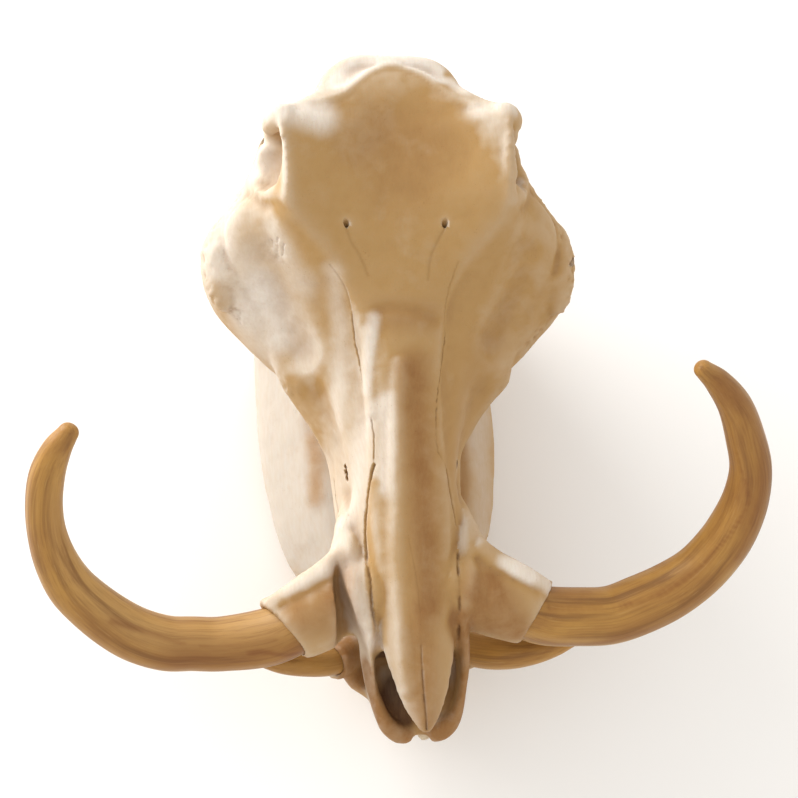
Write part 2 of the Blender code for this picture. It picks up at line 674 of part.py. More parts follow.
def mandible():
    bone = grow_together("mandible", jaw_pieces(), [])
    for one in JAW_STROKES:
        stroke(bone, *one)
    keep_largest(bone)
    thin_out(bone, JAW_FACES)
    combine(bone, [block("ground", *GROUND)], "DIFFERENCE")
    combine(bone, tooth_row(False) + incisors(INCISORS_LOWER), "UNION")
    cut_sockets(bone, (TUSK_LOWER_LEFT, TUSK_LOWER_RIGHT))
    return bone


def tusk_pair(side, upper, lower):
    """One side's tusks: the lower one is worn where it rubs on the upper."""
    big = tusk("tusk_upper_" + side, upper)
    small = tusk("tusk_lower_" + side, lower)
    combine(small, [tusk("wear", upper, TOUCHING_GAP)], "DIFFERENCE")
    keep_largest(small)
    return big, small


def material(name, colour, roughness):
    made = bpy.data.materials.new(name)
    made.use_nodes = True
    shader = made.node_tree.nodes["Principled BSDF"]
    shader.inputs["Base Color"].default_value = (*colour, 1)
    shader.inputs["Roughness"].default_value = roughness
    shader.inputs["Metallic"].default_value = 0.0
    return made


def main():
    for obj in list(bpy.data.objects):
        bpy.data.objects.remove(obj)
    bones = (cranium(), mandible())
    tusks = (
        *tusk_pair("left", TUSK_UPPER_LEFT, TUSK_LOWER_LEFT),
        *tusk_pair("right", TUSK_UPPER_RIGHT, TUSK_LOWER_RIGHT),
    )
    for group, finish in (
        (bones, material("bone", BONE_COLOUR, BONE_ROUGHNESS)),
        (tusks, material("ivory", IVORY_COLOUR, IVORY_ROUGHNESS)),
    ):
        for obj in group:
            obj.data.materials.append(finish)
            obj.data.transform(Matrix.Translation(-mm(*MIDDLE, 0)))


main()
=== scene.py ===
"""Looks of a warthog skull: its bone, teeth and tusks in full detail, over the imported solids.

Sizes are in millimetres in the tables, and mm() turns them into metres. The snout points to -Y,
the animal's left is +X, and the floor is z = 0. The tables measure from a point that MIDDLE gives.
"""

import math

import bmesh
import bpy
import numpy as np
from mathutils import Matrix, Vector, noise


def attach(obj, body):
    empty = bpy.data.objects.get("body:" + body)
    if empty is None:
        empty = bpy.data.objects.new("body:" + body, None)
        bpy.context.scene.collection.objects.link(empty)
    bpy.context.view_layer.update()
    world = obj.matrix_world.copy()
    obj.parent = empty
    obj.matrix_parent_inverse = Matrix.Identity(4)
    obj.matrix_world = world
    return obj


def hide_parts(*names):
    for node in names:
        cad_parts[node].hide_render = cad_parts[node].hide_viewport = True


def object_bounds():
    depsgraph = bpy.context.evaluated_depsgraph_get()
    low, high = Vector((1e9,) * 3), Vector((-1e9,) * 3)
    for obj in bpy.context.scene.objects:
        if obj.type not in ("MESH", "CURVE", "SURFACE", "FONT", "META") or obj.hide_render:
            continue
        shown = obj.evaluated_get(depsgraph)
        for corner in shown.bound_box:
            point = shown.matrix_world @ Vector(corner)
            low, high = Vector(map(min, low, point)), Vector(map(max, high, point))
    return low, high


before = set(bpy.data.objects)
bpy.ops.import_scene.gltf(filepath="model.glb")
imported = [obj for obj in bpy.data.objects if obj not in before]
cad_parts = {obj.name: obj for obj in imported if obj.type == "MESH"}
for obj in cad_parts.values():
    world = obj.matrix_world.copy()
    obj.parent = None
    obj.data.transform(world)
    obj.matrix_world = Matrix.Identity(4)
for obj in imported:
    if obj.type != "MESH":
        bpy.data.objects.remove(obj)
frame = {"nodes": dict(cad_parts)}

CAD_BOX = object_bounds()

BITE_Z = 79.0  # the plane where the cheek teeth meet
TOUCHING_GAP = 0.35  # what two pieces that touch keep between them
MIDDLE = (-1.6, -18.0)  # the middle of the whole, which becomes the origin
SNOUT_BEND = 2.6  # how far the tip of the snout stands aside
BEND_FROM = (-105, 90)  # the y where that bend starts, and the length over which it grows
CHEEK_SKEW = 0.055  # how far back the right cheek sits, as a share of its distance from the middle
SKEW_FROM = (-60, 60)  # the y where the skew starts, and the length over which it grows
SKEW_FADE = (70, 30, 0.6)  # the y where it fades again, over what length, and by what share
SKIN_GRAIN = 1.8  # how fine the grown skin of a bone is
SOFTENING = 7  # how many times that skin is smoothed
SEED = 11  # of all that is random

UP = Vector((0, 0, 1))
BACK = Vector((0, 1, 0))
BOTH = (1, -1)
ONE = (1,)

# The face from the nostrils to the back of the brow, as (y, value)
FACE_ENDS = (-152, 152)
ROOF_Z = (
    (-152, 139), (-120, 148), (-80, 160), (-40, 172), (0, 186), (25, 197), (50, 210),
    (75, 222), (100, 230), (125, 235.5), (145, 239), (158, 238),
)
ROOF_HALF = (
    (-152, 18), (-120, 22), (-80, 24), (-40, 23), (0, 24), (22, 27), (37, 33), (47, 40),
    (58, 50), (66, 58), (74, 62), (124, 63), (134, 50), (144, 40), (158, 36),
)
ROOF_DROP = (
    (-152, 8), (-80, 8), (0, 9), (25, 7), (45, 1), (62, -6), (80, -14), (118, -15),
    (131, -3), (145, 5), (158, 9),
)
WALL_HALF = (
    (-152, 24), (-120, 28), (-80, 31), (-40, 34), (-10, 42), (12, 50), (35, 58), (55, 67),
    (75, 74), (90, 70), (108, 46), (158, 34),
)
WALL_Z = (
    (-152, 118), (-80, 134), (-40, 145), (0, 160), (25, 172), (50, 190), (75, 206),
    (90, 210), (120, 208), (158, 200),
)
CHEEK_HALF = (
    (-152, 29), (-120, 33), (-80, 36), (-40, 38), (-18, 50), (0, 65), (20, 75), (36, 82),
    (52, 92), (74, 95), (92, 84), (108, 56), (130, 44), (158, 34),
)
CHEEK_Z = (
    (-152, 100), (-80, 110), (-40, 112), (-10, 127), (10, 139), (30, 151), (50, 168),
    (70, 183), (90, 189), (158, 172),
)
BASE_HALF = (
    (-152, 25), (-120, 31), (-80, 35), (-40, 37), (0, 42), (30, 46), (52, 44), (70, 36),
    (90, 32), (158, 26),
)
BASE_Z = ((-152, 92), (-80, 94), (10, 94), (36, 100), (52, 112), (66, 128), (90, 140), (158, 148))
PALATE_Z = ((-152, 97), (0, 103), (40, 105), (56, 120), (80, 132), (158, 142))

# The snout in front: the nose bones as (y, z, half width, half thickness), and the floor under them
NOSE = (
    (-112, 139, 16, 6), (-132, 137, 18, 6.5), (-150, 132, 19.5, 7), (-172, 126.5, 15, 6.5),
    (-185, 123, 10, 5.5), (-194, 120.5, 5.5, 4), (-198.5, 119.3, 2.5, 3),
)
SNOUT_FLOOR = ((0, -160, 92), (24, 38, 4.5))

# Bars of bone, as (x, y, z, half height, half thickness)
RAIL = (
    (25, -112, 116, 24, 7), (26, -136, 113, 22, 5), (27.2, -152, 108, 15, 3.7), (26.4, -166, 102, 11, 3.4),
    (23.2, -180, 98, 9.5, 3.7), (18.5, -190, 94.5, 8, 5), (12, -194, 92, 7, 6.5), (5, -195.5, 90.5, 6.5, 6),
)
ARCH = (
    (40, 8, 130, 18, 16), (62, 27, 134, 23, 17), (78, 43, 140, 26, 17), (91, 56, 147, 28, 15.5),
    (96.5, 70, 156, 28, 12.5), (88.5, 84, 168, 23, 11.5), (77.5, 100, 179, 17, 9),
    (69, 114, 188, 13, 9), (61, 126, 188, 13, 13), (50, 136, 184, 16, 15),
)
EYE_RIM = (
    (59, 77, 228, 5, 6), (66, 84, 218, 6, 7), (70, 92, 206, 7, 8), (74, 101, 197, 7, 8),
    (72, 111, 196, 6, 7), (67, 119, 203, 5, 5), (65, 122, 212, 3, 3),
)
BROW_POST = ((56, 120, 241, 8, 8), (64, 121, 238, 7, 7), (68, 121, 229, 5, 5), (67, 122, 222, 3, 3))
CREST = (
    (0, 158, 232, 6, 7), (17, 157.5, 231, 6, 7), (29, 153, 227, 6, 7), (35.5, 146, 218, 6, 7),
    (41, 141, 201, 6, 7), (50, 138, 185, 8, 8), (57, 133, 172, 9, 9),
)
NECK_SPUR = ((38, 138, 168, 10, 9), (38, 141, 148, 9, 6), (36, 139, 126, 6, 4.5), (34, 136, 106, 3.5, 3.5))
EAR_ROOT = ((40, 126, 180, 16, 14), (58, 130, 182, 13, 13), (66, 127, 184, 12, 11))
PALATE_WING = ((20, 44, 112, 14, 5), (19, 60, 112, 15, 3.5), (20, 74, 110, 13, 3), (22, 86, 122, 12, 4))
SHEATH = (
    (18, -113, 122, 23, 23), (40, -122, 118, 21.5, 22), (56, -128, 115, 21, 21.5),
    (68, -132, 111, 20.5, 20.5), (86, -137, 106, 20.5, 20.5),
)
SHEATH_CREST = ((38, -98, 135, 7, 7), (49, -107, 133, 6, 7), (64, -115, 130, 5.5, 6.5), (79, -123, 123, 5, 6))
SHEATH_WEB = ((31, -64, 124, 7, 5), (34, -76, 127, 8, 5), (37, -87, 130, 8, 5), (41, -98, 132, 7, 5))
BESIDE_NOSTRIL = ((23.5, -126, 134, 3.5, 4), (23.5, -138, 129.5, 3.5, 4), (23, -146, 124, 3, 3.5))

# Rounded masses of bone, as (centre, radii, turn in degrees)
BRAINCASE = ((0, 120, 184), (42, 36, 44))
OCCIPUT = ((0, 144, 184), (34, 11, 42), (-8, 0, 0))
CONDYLE = ((14, 155, 154), (9, 11, 13), (-25, 0, 12))
EAR_BONE = ((30, 120, 140), (9, 12, 11))
WEB_ROOT = ((34, -97, 132.5), (9, 13, 8))
EYE_BACK = ((65, 124, 216), (7, 5, 10))
LEFT_BROW_EDGE = ((65.5, 111, 229), (3.6, 8, 9))
EYE_FLOOR = ((61, 112, 203), (15, 15, 15))
ARCH_TOP = ((97, 61, 169.5), (11, 27, 10), (26, 0, 0))

# Hollows: the eye socket, the passage inside the arch, the gap behind the eye, the fold between
# the snout and the sheath of the tusk, the hole of the spine, the air passage, and where it opens
# into the throat
EYE_HOLLOW = ((71, 103, 219), (18, 16, 13), (0, 24, 0))
ARCH_PASSAGE = ((61, 99, 152), (17, 40, 30), (-24, 4, 5))
BEHIND_EYE = ((51, 119, 198), (7, 8, 24), (14, 4, 0))
FOLD_RIGHT = (
    (-42, -98, 146, 6, 1.5), (-41.5, -116, 138, 14, 3.2), (-39.5, -130, 132, 19, 5), (-38, -142, 128, 22, 7),
    (-36.5, -156, 124, 24, 9.5), (-36, -178, 120, 24, 11),
)
FOLD_LEFT = (
    (41, -120, 142, 3, 2), (40.5, -136, 139, 5, 3.5), (39, -150, 131, 10, 5.5),
    (37, -164, 124, 17, 8), (36, -178, 120, 20, 9),
)
SPINE_HOLE = ((0, 162, 160), (12, 22, 11), (-12, 0, 0))
AIR_PASSAGE = ((0, -160, 112, 13, 19), (0, -140, 115, 15, 19), (0, -118, 117, 13, 16), (0, -100, 118, 8, 10))
CHOANA = ((0, 78, 122), (11, 26, 13), (-18, 0, 0))

# The slanting mouth of the sheath: a block put outside it, turned about Z
MOUTH_PLACE = (74, -133, 110)
MOUTH_TURN = -36
MOUTH_BLOCK = ((30, 0, 0), (60, 90, 120))

# The tusks, root to tip: x, y, z, half thickness square to the plane of the curve, half width in it
TUSK_UPPER_LEFT = (
    (56, -130, 118, 15.5, 15.5), (78, -135.5, 109, 17.6, 17.6), (101, -137, 105, 17.6, 17.6),
    (120, -137, 104, 17.6, 17.6), (137, -133, 109, 17.8, 17.8), (154, -127, 115, 17.2, 17.2),
    (169, -119, 124, 16.2, 16), (180, -109, 135, 15.6, 15.4), (187, -99, 147, 15, 14.8),
    (192, -86, 161, 13.8, 13.5), (192, -72, 177, 12.6, 12.2), (186, -58, 192, 11.5, 11.2),
    (178, -45, 206, 10, 9.8), (167, -35, 217, 8, 7.8), (157, -29, 224, 5.6, 5.4),
)
TUSK_UPPER_RIGHT = (
    (-56, -130, 116, 15.5, 15.5), (-80, -136.5, 106, 17, 17), (-107, -138, 102, 16, 16),
    (-124, -137, 103, 15.8, 15.8), (-139, -136, 105, 16, 16), (-155, -131, 110, 15.8, 15.8),
    (-168, -124, 118, 15.2, 15.2), (-180, -115, 128, 14.4, 14.4), (-189, -106, 138, 13.6, 13.6),
    (-195, -95, 150, 12.2, 12.2), (-198, -83, 164, 10.8, 10.8), (-198, -71, 177, 10.2, 10.2),
    (-195, -59, 190, 9.8, 9.8), (-189, -49, 201, 8.2, 8.2), (-182, -42, 209, 5.8, 5.8),
)
TUSK_LOWER_LEFT = (
    (32, -138, 56, 9.5, 9), (44, -145.5, 65, 10.8, 10.4), (58, -149.5, 73, 10.8, 10.2),
    (73, -151, 81, 9.4, 8.8), (87, -150, 89, 7.2, 6.8), (97, -148.5, 97, 4.5, 4.2),
)
TUSK_LOWER_RIGHT = (
    (-32, -141, 56, 9.5, 8.5), (-44, -146, 65, 9.5, 8.5), (-57, -147.5, 73, 9, 8),
    (-71, -148, 81, 7.4, 6.6), (-82, -147, 88, 5.4, 4.8), (-89, -146, 93, 3, 3),
)
TUSK_PLANE = Vector((0, 0.743, -0.669))  # square to the plane in which the tusks curve
TUSK_RINGS = 26
TUSK_SIDES = 14
TUSK_TIP_RINGS = 4

# One half of the lower jaw from the chin to the back, as (y, value)
JAW_ENDS = (-118, 118)
JAW_OUTER = (
    (-118, 34), (-102, 49), (-80, 61), (-62, 68), (-42, 72), (-20, 75), (10, 77), (40, 77),
    (75, 75), (100, 72), (118, 66),
)
JAW_INNER = (
    (-118, 8), (-100, 12), (-80, 17), (-40, 19), (0, 20), (40, 22), (60, 30), (80, 46), (118, 52),
)
JAW_TOP = ((-118, 60), (-100, 67), (-80, 68), (-40, 70), (50, 70), (62, 78), (80, 90), (118, 90))
JAW_BASE = (
    (-118, 8), (-102, 3), (-90, 4), (-40, 7), (20, 6), (58, 1), (76, -1.5), (96, -1.5),
    (108, 8), (118, 24),
)
# The front of the jaw, where its halves are one, as (y, half width, top, base)
CHIN = (
    (-86, 34, 62, 10), (-96, 43, 65, 3), (-106, 43, 66, -1.5), (-128, 38, 62, -1.5),
    (-142, 37, 60, 5), (-154, 35, 61, 16), (-161, 31, 62, 24), (-167, 23, 64, 32),
    (-177, 19, 66, 45), (-186, 15, 68, 54),
)
LOWER_SHEATH = ((22, -134, 50, 14, 13), (33, -142, 58, 13.5, 12), (42, -147, 65, 12.5, 11))
# The upright plate behind the teeth, the knob of the joint on its neck, and the spur in front
RAMUS = (
    (66, 92, 20, 26, 9), (66, 92, 60, 29, 7.5), (63, 94, 100, 27, 6.5), (60, 98, 130, 24, 6),
    (60, 106, 148, 15, 6),
)
JOINT_NECK = ((61, 108, 130, 10, 7), (62, 113, 146, 8, 8), (62, 114, 157, 6, 9))
JOINT_KNOB = ((62, 114, 158), (14, 8, 8.5))
SPUR = ((60, 84, 128, 12, 6), (57, 84, 148, 9, 5), (55, 88, 164, 5, 3.5), (54, 91, 170, 2.5, 2.5))
GROUND = ((0, 0, -20), (300, 500, 40))

# Cheek teeth from the front: y of the middle, across, along, lobes
CHEEK_TEETH = ((-42, 10, 9, 1), (-31, 13, 11, 2), (-18, 15, 14, 2), (0, 17, 20, 3), (29, 18, 36, 6))
TOOTH_LINE = ((-45, 29), (45, 27))  # how far the row stands from the middle, as (y, x)
LOWER_ROW_INSET = 1.5
UPPER_TOOTH_HEIGHT = 20
LOWER_TOOTH_HEIGHT = 16
LOBE_DEPTH = 0.13
INCISORS_UPPER = (((9, -189, 90, 5, 5), (8, -193, 84, 4.5, 4.5), (5, -195, 79, 3, 3.5)),)
INCISORS_LOWER = (
    ((4.3, -178, 61, 4, 3.6), (4.3, -185, 67, 3.8, 3.4), (4, -188, 71, 2.6, 2.6)),
    ((10.5, -176, 60, 4, 3.4), (10.5, -182, 66, 3.6, 3.2), (10.5, -185, 70, 2.6, 2.6)),
    ((15.5, -169, 59, 3.4, 3), (15.8, -175, 65, 3, 2.8), (15.8, -178, 68, 2.2, 2.2)),
)

# The sharp edge along which the brow ends behind
CREST_LINE = (
    (-46, 132, 239), (-35, 134, 238), (-26, 138, 238), (-18, 145, 238), (-10, 151, 238), (-2.5, 153.6, 237.7),
    (6, 153, 237.6), (19.5, 147.6, 237.4), (27, 140.4, 237.5), (35, 132.4, 238), (45, 127, 240),
)
BEHIND_CREST = (
    (-36, 143, 237), (-27, 147, 237), (-18, 154, 237), (-9, 159, 237), (0, 161, 237), (9, 160, 237),
    (20, 156, 236.5), (28, 149.5, 236.5), (37, 142, 236.5),
)
# Shallow dents and swellings of the skin: path, radius, height, sides
CRANIUM_STROKES = (
    (((0, 96, 231),), 46, -3.0, BOTH),  # the dished brow
    (((60, 20, 160), (72, 48, 172)), 20, -4.0, BOTH),  # the hollow under the eye
    (((58, 18, 164), (74, 60, 190)), 18, -2.0, BOTH),
    (((50, -12, 148), (38, -60, 134)), 17, -3.0, BOTH),  # the hollow flank of the snout
    (((0, -40, 173), (0, -140, 146)), 15, 0.8, BOTH),  # the rounded ridge of the nose
    (((69, -1, 132),), 12, 2.5, ONE),  # the left cheek's fuller front edge
    (((-17, 22, 193), (-19, 9, 185), (-21, -6, 177), (-20, -26, 171)), 6, 1.3, ONE),  # beside the nose
    (((-1, -4, 184), (-5, -33, 174), (-8, -75, 161), (-10, -128, 144), (-8, -175, 129)), 7.5, 1.7, ONE),
    (((8, -20, 178), (9, -75, 160), (8, -128, 143)), 12, -1.0, ONE),  # the flatter plane beside that ridge
    (((-19, 18, 190), (-13, 25, 195), (6, 24, 196), (20, 18, 190)), 6, -0.9, ONE),  # the root of the nose
    (((-64, 128, 246), (-64, 106, 244), (-65, 91, 240), (-62, 74, 230)), 6, 1.0, BOTH),  # the brow's lip
    (((34, -66, 140), (33, -85, 138), (33, -102, 138), (32.5, -120, 141), (27, -138, 133)), 6, 1.6, BOTH),
    (CREST_LINE, 3.2, 0.8, ONE),
    (BEHIND_CREST, 8, -1.4, ONE),
    (((-47, 39, 190), (-45, 8, 165), (-42, -14, 146)), 16, -0.8, BOTH),  # the plane beside the cheek
    (((-97.5, 71, 182), (-95.5, 64, 178), (-93, 58, 174)), 7, 1.3, ONE),  # the filled top of the right arch
    (((0, 150, 214), (0, 153, 185)), 7, 2.5, BOTH),  # the keel down the back
    (((16, 155, 205), (17, 152, 190)), 11, -3.5, BOTH),  # the pits beside it, where the neck held
    (((65, 115, 236), (63, 100, 241), (63, 87, 237)), 7, 2.0, ONE),  # the left edge of the brow
    (((-75.7, 93.9, 206.8),), 3.5, 1.6, BOTH),  # knobs before the eye
    (((-71.8, 101.9, 203),), 3, 1.2, BOTH),
    (((-66, 110, 199),), 3, 1.2, ONE),
)
JAW_STROKES = (
    (((72, 92, 60), (66, 96, 100)), 26, -3.0, BOTH),  # the hollow of the chewing muscle
    (((70, 74, 8), (74, 96, 4), (72, 112, 20)), 7, 1.4, BOTH),  # the roughened corner
    (((0, -150, 40), (0, -164, 34)), 6, -1.2, BOTH),  # the seam of the chin
)
# Places where the skin is rough: centre, radius, sides
ROUGH_SPOTS = (
    ((-67, 62, 198), 12, ONE), ((100, 66, 160), 26, BOTH), ((66, 126, 240), 10, BOTH),
    ((74, 100, 8), 26, BOTH), ((80, -124, 124), 12, BOTH), ((74, 98, 200), 12, BOTH),
    ((0, 152, 180), 32, ONE), ((63, 4, 134), 14, BOTH),
)
# The unevenness of worn bone, as (height, size of its features, octaves, place in the noise): all
# over, finer all over, at the rough places, and along the ragged rims
SKIN_BROAD = (0.55, 26, 2, 3.0)
SKIN_FINE = (0.16, 7, 2, 9.0)
SKIN_ROUGH = (0.55, 3.4, 2, 5.0)
SKIN_RAGGED = (1.5, 4.2, 3, 11.0)
RAGGED_REACH = 9
# The ragged rims of the cheek arches
RAGGED = (
    ((-85, 104, 186), (-92, 98, 186), (-99, 89, 183), (-104, 78, 178), (-107, 68, 172), (-105, 56, 166),
     (-98, 46, 161), (-88, 38, 156)),
    ((80, 96, 190), (88, 88, 189), (96, 76, 186), (103, 62, 180), (106, 50, 172), (103, 38, 162),
     (95, 28, 154), (84, 20, 148)),
)
# Seams between the bones: points, half width, depth, how dark, how far they wander, sides
CRANIUM_SEAMS = (
    (((-38.7, 48.9, 205.2), (-30.7, 38.5, 198), (-26.9, 26, 187.2)), 0.8, 0.35, 0.15, 0.3, ONE),
    (((-26.9, 26, 187.2), (-25.6, 14, 179.4), (-24.2, 5.7, 175.8), (-23, -3.1, 173.3), (-21.6, -15.8, 170.5),
      (-19.5, -25.9, 170.2), (-18.4, -34.7, 168.2), (-18.2, -42.2, 166), (-18.9, -54.5, 162.3)),
     0.5, 0.6, 0.5, 0.5, ONE),
    (((32, 46.1, 209.2), (27.6, 35.9, 201.2), (25.5, 27.1, 193.4), (25.3, 12.9, 180.8)),
     0.45, 0.3, 0.25, 0.4, ONE),
    (((25.3, 12.9, 180.8), (23.8, 3.6, 176.7), (22, -5.8, 174.9), (19.2, -18.9, 173.4), (17.2, -32.5, 170.1)),
     0.5, 0.6, 0.65, 0.7, ONE),
    (((17.2, -32.5, 170.1), (17.5, -48, 165), (22.9, -57.9, 155.9)), 0.5, 0.35, 0.3, 0.5, ONE),
    (((-18.9, -54.5, 162.3), (-21.4, -61.8, 158), (-23.9, -74, 150.1), (-25, -86.8, 144),
      (-25.2, -100.4, 140.6), (-24.5, -115.4, 143.7), (-24, -128.6, 139.1), (-21.9, -138.6, 132),
      (-20.1, -146.7, 129.4)),
     0.9, 1.7, 0.6, 0.35, ONE),
    (((22.9, -57.9, 155.9), (25.4, -73.3, 147.6), (27.9, -93.8, 135.7), (26.2, -108, 143), (25.6, -118, 142),
      (25.3, -130, 138), (24.9, -142, 131), (23.7, -151, 125)), 0.8, 1.5, 0.75, 0.35, ONE),
    (((-2.2, -96.2, 156), (1, -118, 149), (2.1, -139.5, 142.9)), 0.4, 0.2, 0.15, 0.15, ONE),
    (((2.1, -139.5, 142.9), (1.4, -152.6, 138.5)), 0.45, 0.35, 0.25, 0.15, ONE),
    (((1.4, -152.6, 138.5), (1.2, -165.8, 134.7)), 0.5, 0.6, 0.4, 0.15, ONE),
    (((1.2, -165.8, 134.7), (1.5, -179, 130.9)), 0.58, 0.9, 0.55, 0.15, ONE),
    (((1.5, -179, 130.9), (2.1, -189.5, 127), (2.4, -197.5, 122.3)), 0.7, 1.3, 0.75, 0.15, ONE),
    (((-69.2, 68.6, 201), (-69.4, 64.8, 197)), 0.7, 0.4, 0.12, 0.8, ONE),
    (((-66.0, 67, 204), (-67.0, 61.8, 196.5)), 0.8, 0.45, 0.12, 0.9, ONE),
    (((-63.2, 63.5, 203), (-64.2, 59.5, 196.5)), 0.7, 0.4, 0.12, 0.8, ONE),
    (((-37.4, -47.7, 111.9), (-37.1, -53.4, 110.5), (-36.7, -62.7, 111.1), (-35.9, -72.6, 113.9),
      (-35.3, -79, 115.4)), 0.9, 1.2, 0.8, 1.0, ONE),
    (((-29.7, 64.8, 218.4), (-26.6, 57.7, 214), (-22.3, 51.4, 210.3), (-18.2, 42.2, 204.9)),
     1.0, 0.2, 0.16, 0.2, ONE),
    (((25, 62.7, 218.4), (20.5, 55.8, 214.1), (17, 49.2, 210.3), (15.1, 38.3, 203.7)),
     1.0, 0.2, 0.18, 0.2, ONE),
    (((88, 34, 128), (96, 52, 134), (104, 68, 150), (98, 80, 158), (88, 90, 172)), 0.5, 0.5, 0.35, 1.4, BOTH),
    (((40, -60, 134), (38, -84, 128), (36, -100, 112), (34, -108, 98)), 0.5, 0.5, 0.35, 1.4, BOTH),
)
JAW_SEAMS = (
    (((0, -188, 56), (0, -172, 40), (0, -160, 28), (0, -140, 6)), 0.9, 1.0, 0.6, 0.8, ONE),
)
# How a seam is cut: its step, how fast it turns aside, how far the skin is refined round it, how
# far it reaches, and the lip beside it as (height, distance, width)
SEAM_STEP = 0.35
SEAM_TURNS = 0.34
SEAM_REFINED = (2.6, 1.5)
SEAM_REACH = 6
SEAM_LIP = (0.18, 2.2, 1.1)
# Holes for nerves and vessels: mouth, inner end, radius, sides
CRANIUM_HOLES = (
    ((-30, 70, 225), (-28, 60, 205), 1.5, ONE), ((25.5, 68, 225), (24, 58, 205), 1.5, ONE),
    ((-35, -49, 139.5), (-24, -42, 127), 1.7, ONE), ((-34.6, -52, 138.3), (-24, -45, 126), 2.0, ONE),
    ((-34.2, -55, 137), (-24, -48, 125), 1.8, ONE), ((34.5, -50, 136), (24, -42, 124), 2.4, ONE),
    ((70, 132, 196), (40, 124, 172), 4.6, BOTH), ((24, 150, 148), (16, 140, 152), 2.4, BOTH),
    ((7, -168, 84), (7, -164, 104), 2.6, BOTH),
)
JAW_HOLES = (
    ((66, -66, 26), (54, -58, 30), 2.6, BOTH), ((60, -84, 20), (48, -78, 24), 2.0, BOTH),
    ((12, -166, 34), (10, -154, 40), 1.7, BOTH), ((52, 88, 92), (66, 94, 80), 3.2, BOTH),
)
# Chips out of the edges of the arches: centre, radii, turn
CHIPS = (
    ((-100.5, 92, 185), (3, 8, 2.6), (-42, 0, 0)), ((-93.2, 101, 186), (2.2, 8, 2.4), (-42, 0, 0)),
    ((106.4, 57, 178), (4.2, 6.5, 2), (-42, 0, 0)),
)

# Stains, and painted shade on faces and folds turned from the light and under the sheaths and palate: path,
# radius, amount
CRANIUM_STAINS_AND_SHADE = (
    (((-10, 112, 234), (16, 110, 234), (4, 92, 228)), 38, 0.47),  # the dish of the brow
    # Painted shade on the nose's right-hand plane, which faces away from the light
    (((6, -6, 184), (7.5, -60, 166), (7, -128, 144)), 17, 1.0),  # the right-hand plane of the nose
    (((3, -140, 142), (2, -170, 134), (2, -192, 126)), 17, 0.75),  # the tip of the nose
    (((-10, 22, 196), (14, 20, 194)), 15, 0.5),  # the root of the nose
    (((30, -60, 150), (38, -20, 160), (50, 10, 165)), 22, 0.2),
    (((25.5, -140, 132), (27.3, -157, 120), (30, -169, 108), (27, -183, 104), (22, -193, 99.6),
      (10, -199, 95)), 13, 1.7),  # the left rail
    (((-27.9, -160, 109), (-26.4, -168, 106.5), (-22.9, -179, 105.6), (-17.7, -190, 101.8),
      (-8, -198, 96.5)), 12, 1.7),  # the right rail
    # Painted shade in the folds beside the sheaths and on the sheaths' faces
    (((-39, -106, 142), (-38, -130, 132), (-37, -156, 120)), 15, 0.75),  # the folds beside the sheaths
    (((42, -120, 136), (40, -142, 128), (38, -158, 120)), 14, 0.9),
    (((36, -124, 139), (46, -128, 136), (51, -135.5, 134.8), (58, -146, 124)), 18, 1.0),  # the sheaths
    (((-64, -128, 134), (-56, -134, 135), (-50, -124, 137.5)), 18, 0.8),
    (((22, -150, 116), (23, -163, 107.5), (21, -176, 100)), 11, -1.0),  # inside the left nostril
    # Painted shadow under the sheaths and under the palate
    (((60, -134, 100), (80, -138, 98)), 12, 0.6), (((-60, -134, 100), (-80, -138, 98)), 12, 0.45),
    (((0, 40, 104), (0, -40, 100), (0, -100, 98)), 30, 0.35),
)
# Painted shade, darkest deep inside the nostrils: path, radius, amount
CRANIUM_DEEP_SHADE = (
    (((-13, -140, 116), (-13, -155, 107), (-12, -175, 98), (-7, -184, 94)), 12, 2.5),
    (((13, -140, 112), (13, -150, 104)), 9, 0.1),
    (((0, -130, 114), (0, -160, 100)), 14, 1.0),
)
# Stains and painted shade on the jaw: along the tooth rows under the cheeks, on the chin under the snout, and
# under the right rail: path, radius, amount
JAW_STAINS_AND_SHADE = (
    (((45, 10, 68), (46, -28, 64), (46, -50, 64)), 12, 0.75),
    (((-44, 6, 68), (-44, -28, 68), (-45, -46, 66)), 12, 0.5),
    (((24, -150, 58), (0, -172, 56), (-24, -150, 58)), 22, 0.6),
    (((-36, -132, 68), (-34, -147, 70), (-31, -158, 60)), 14, 1.3),  # in the shade of the right rail
)
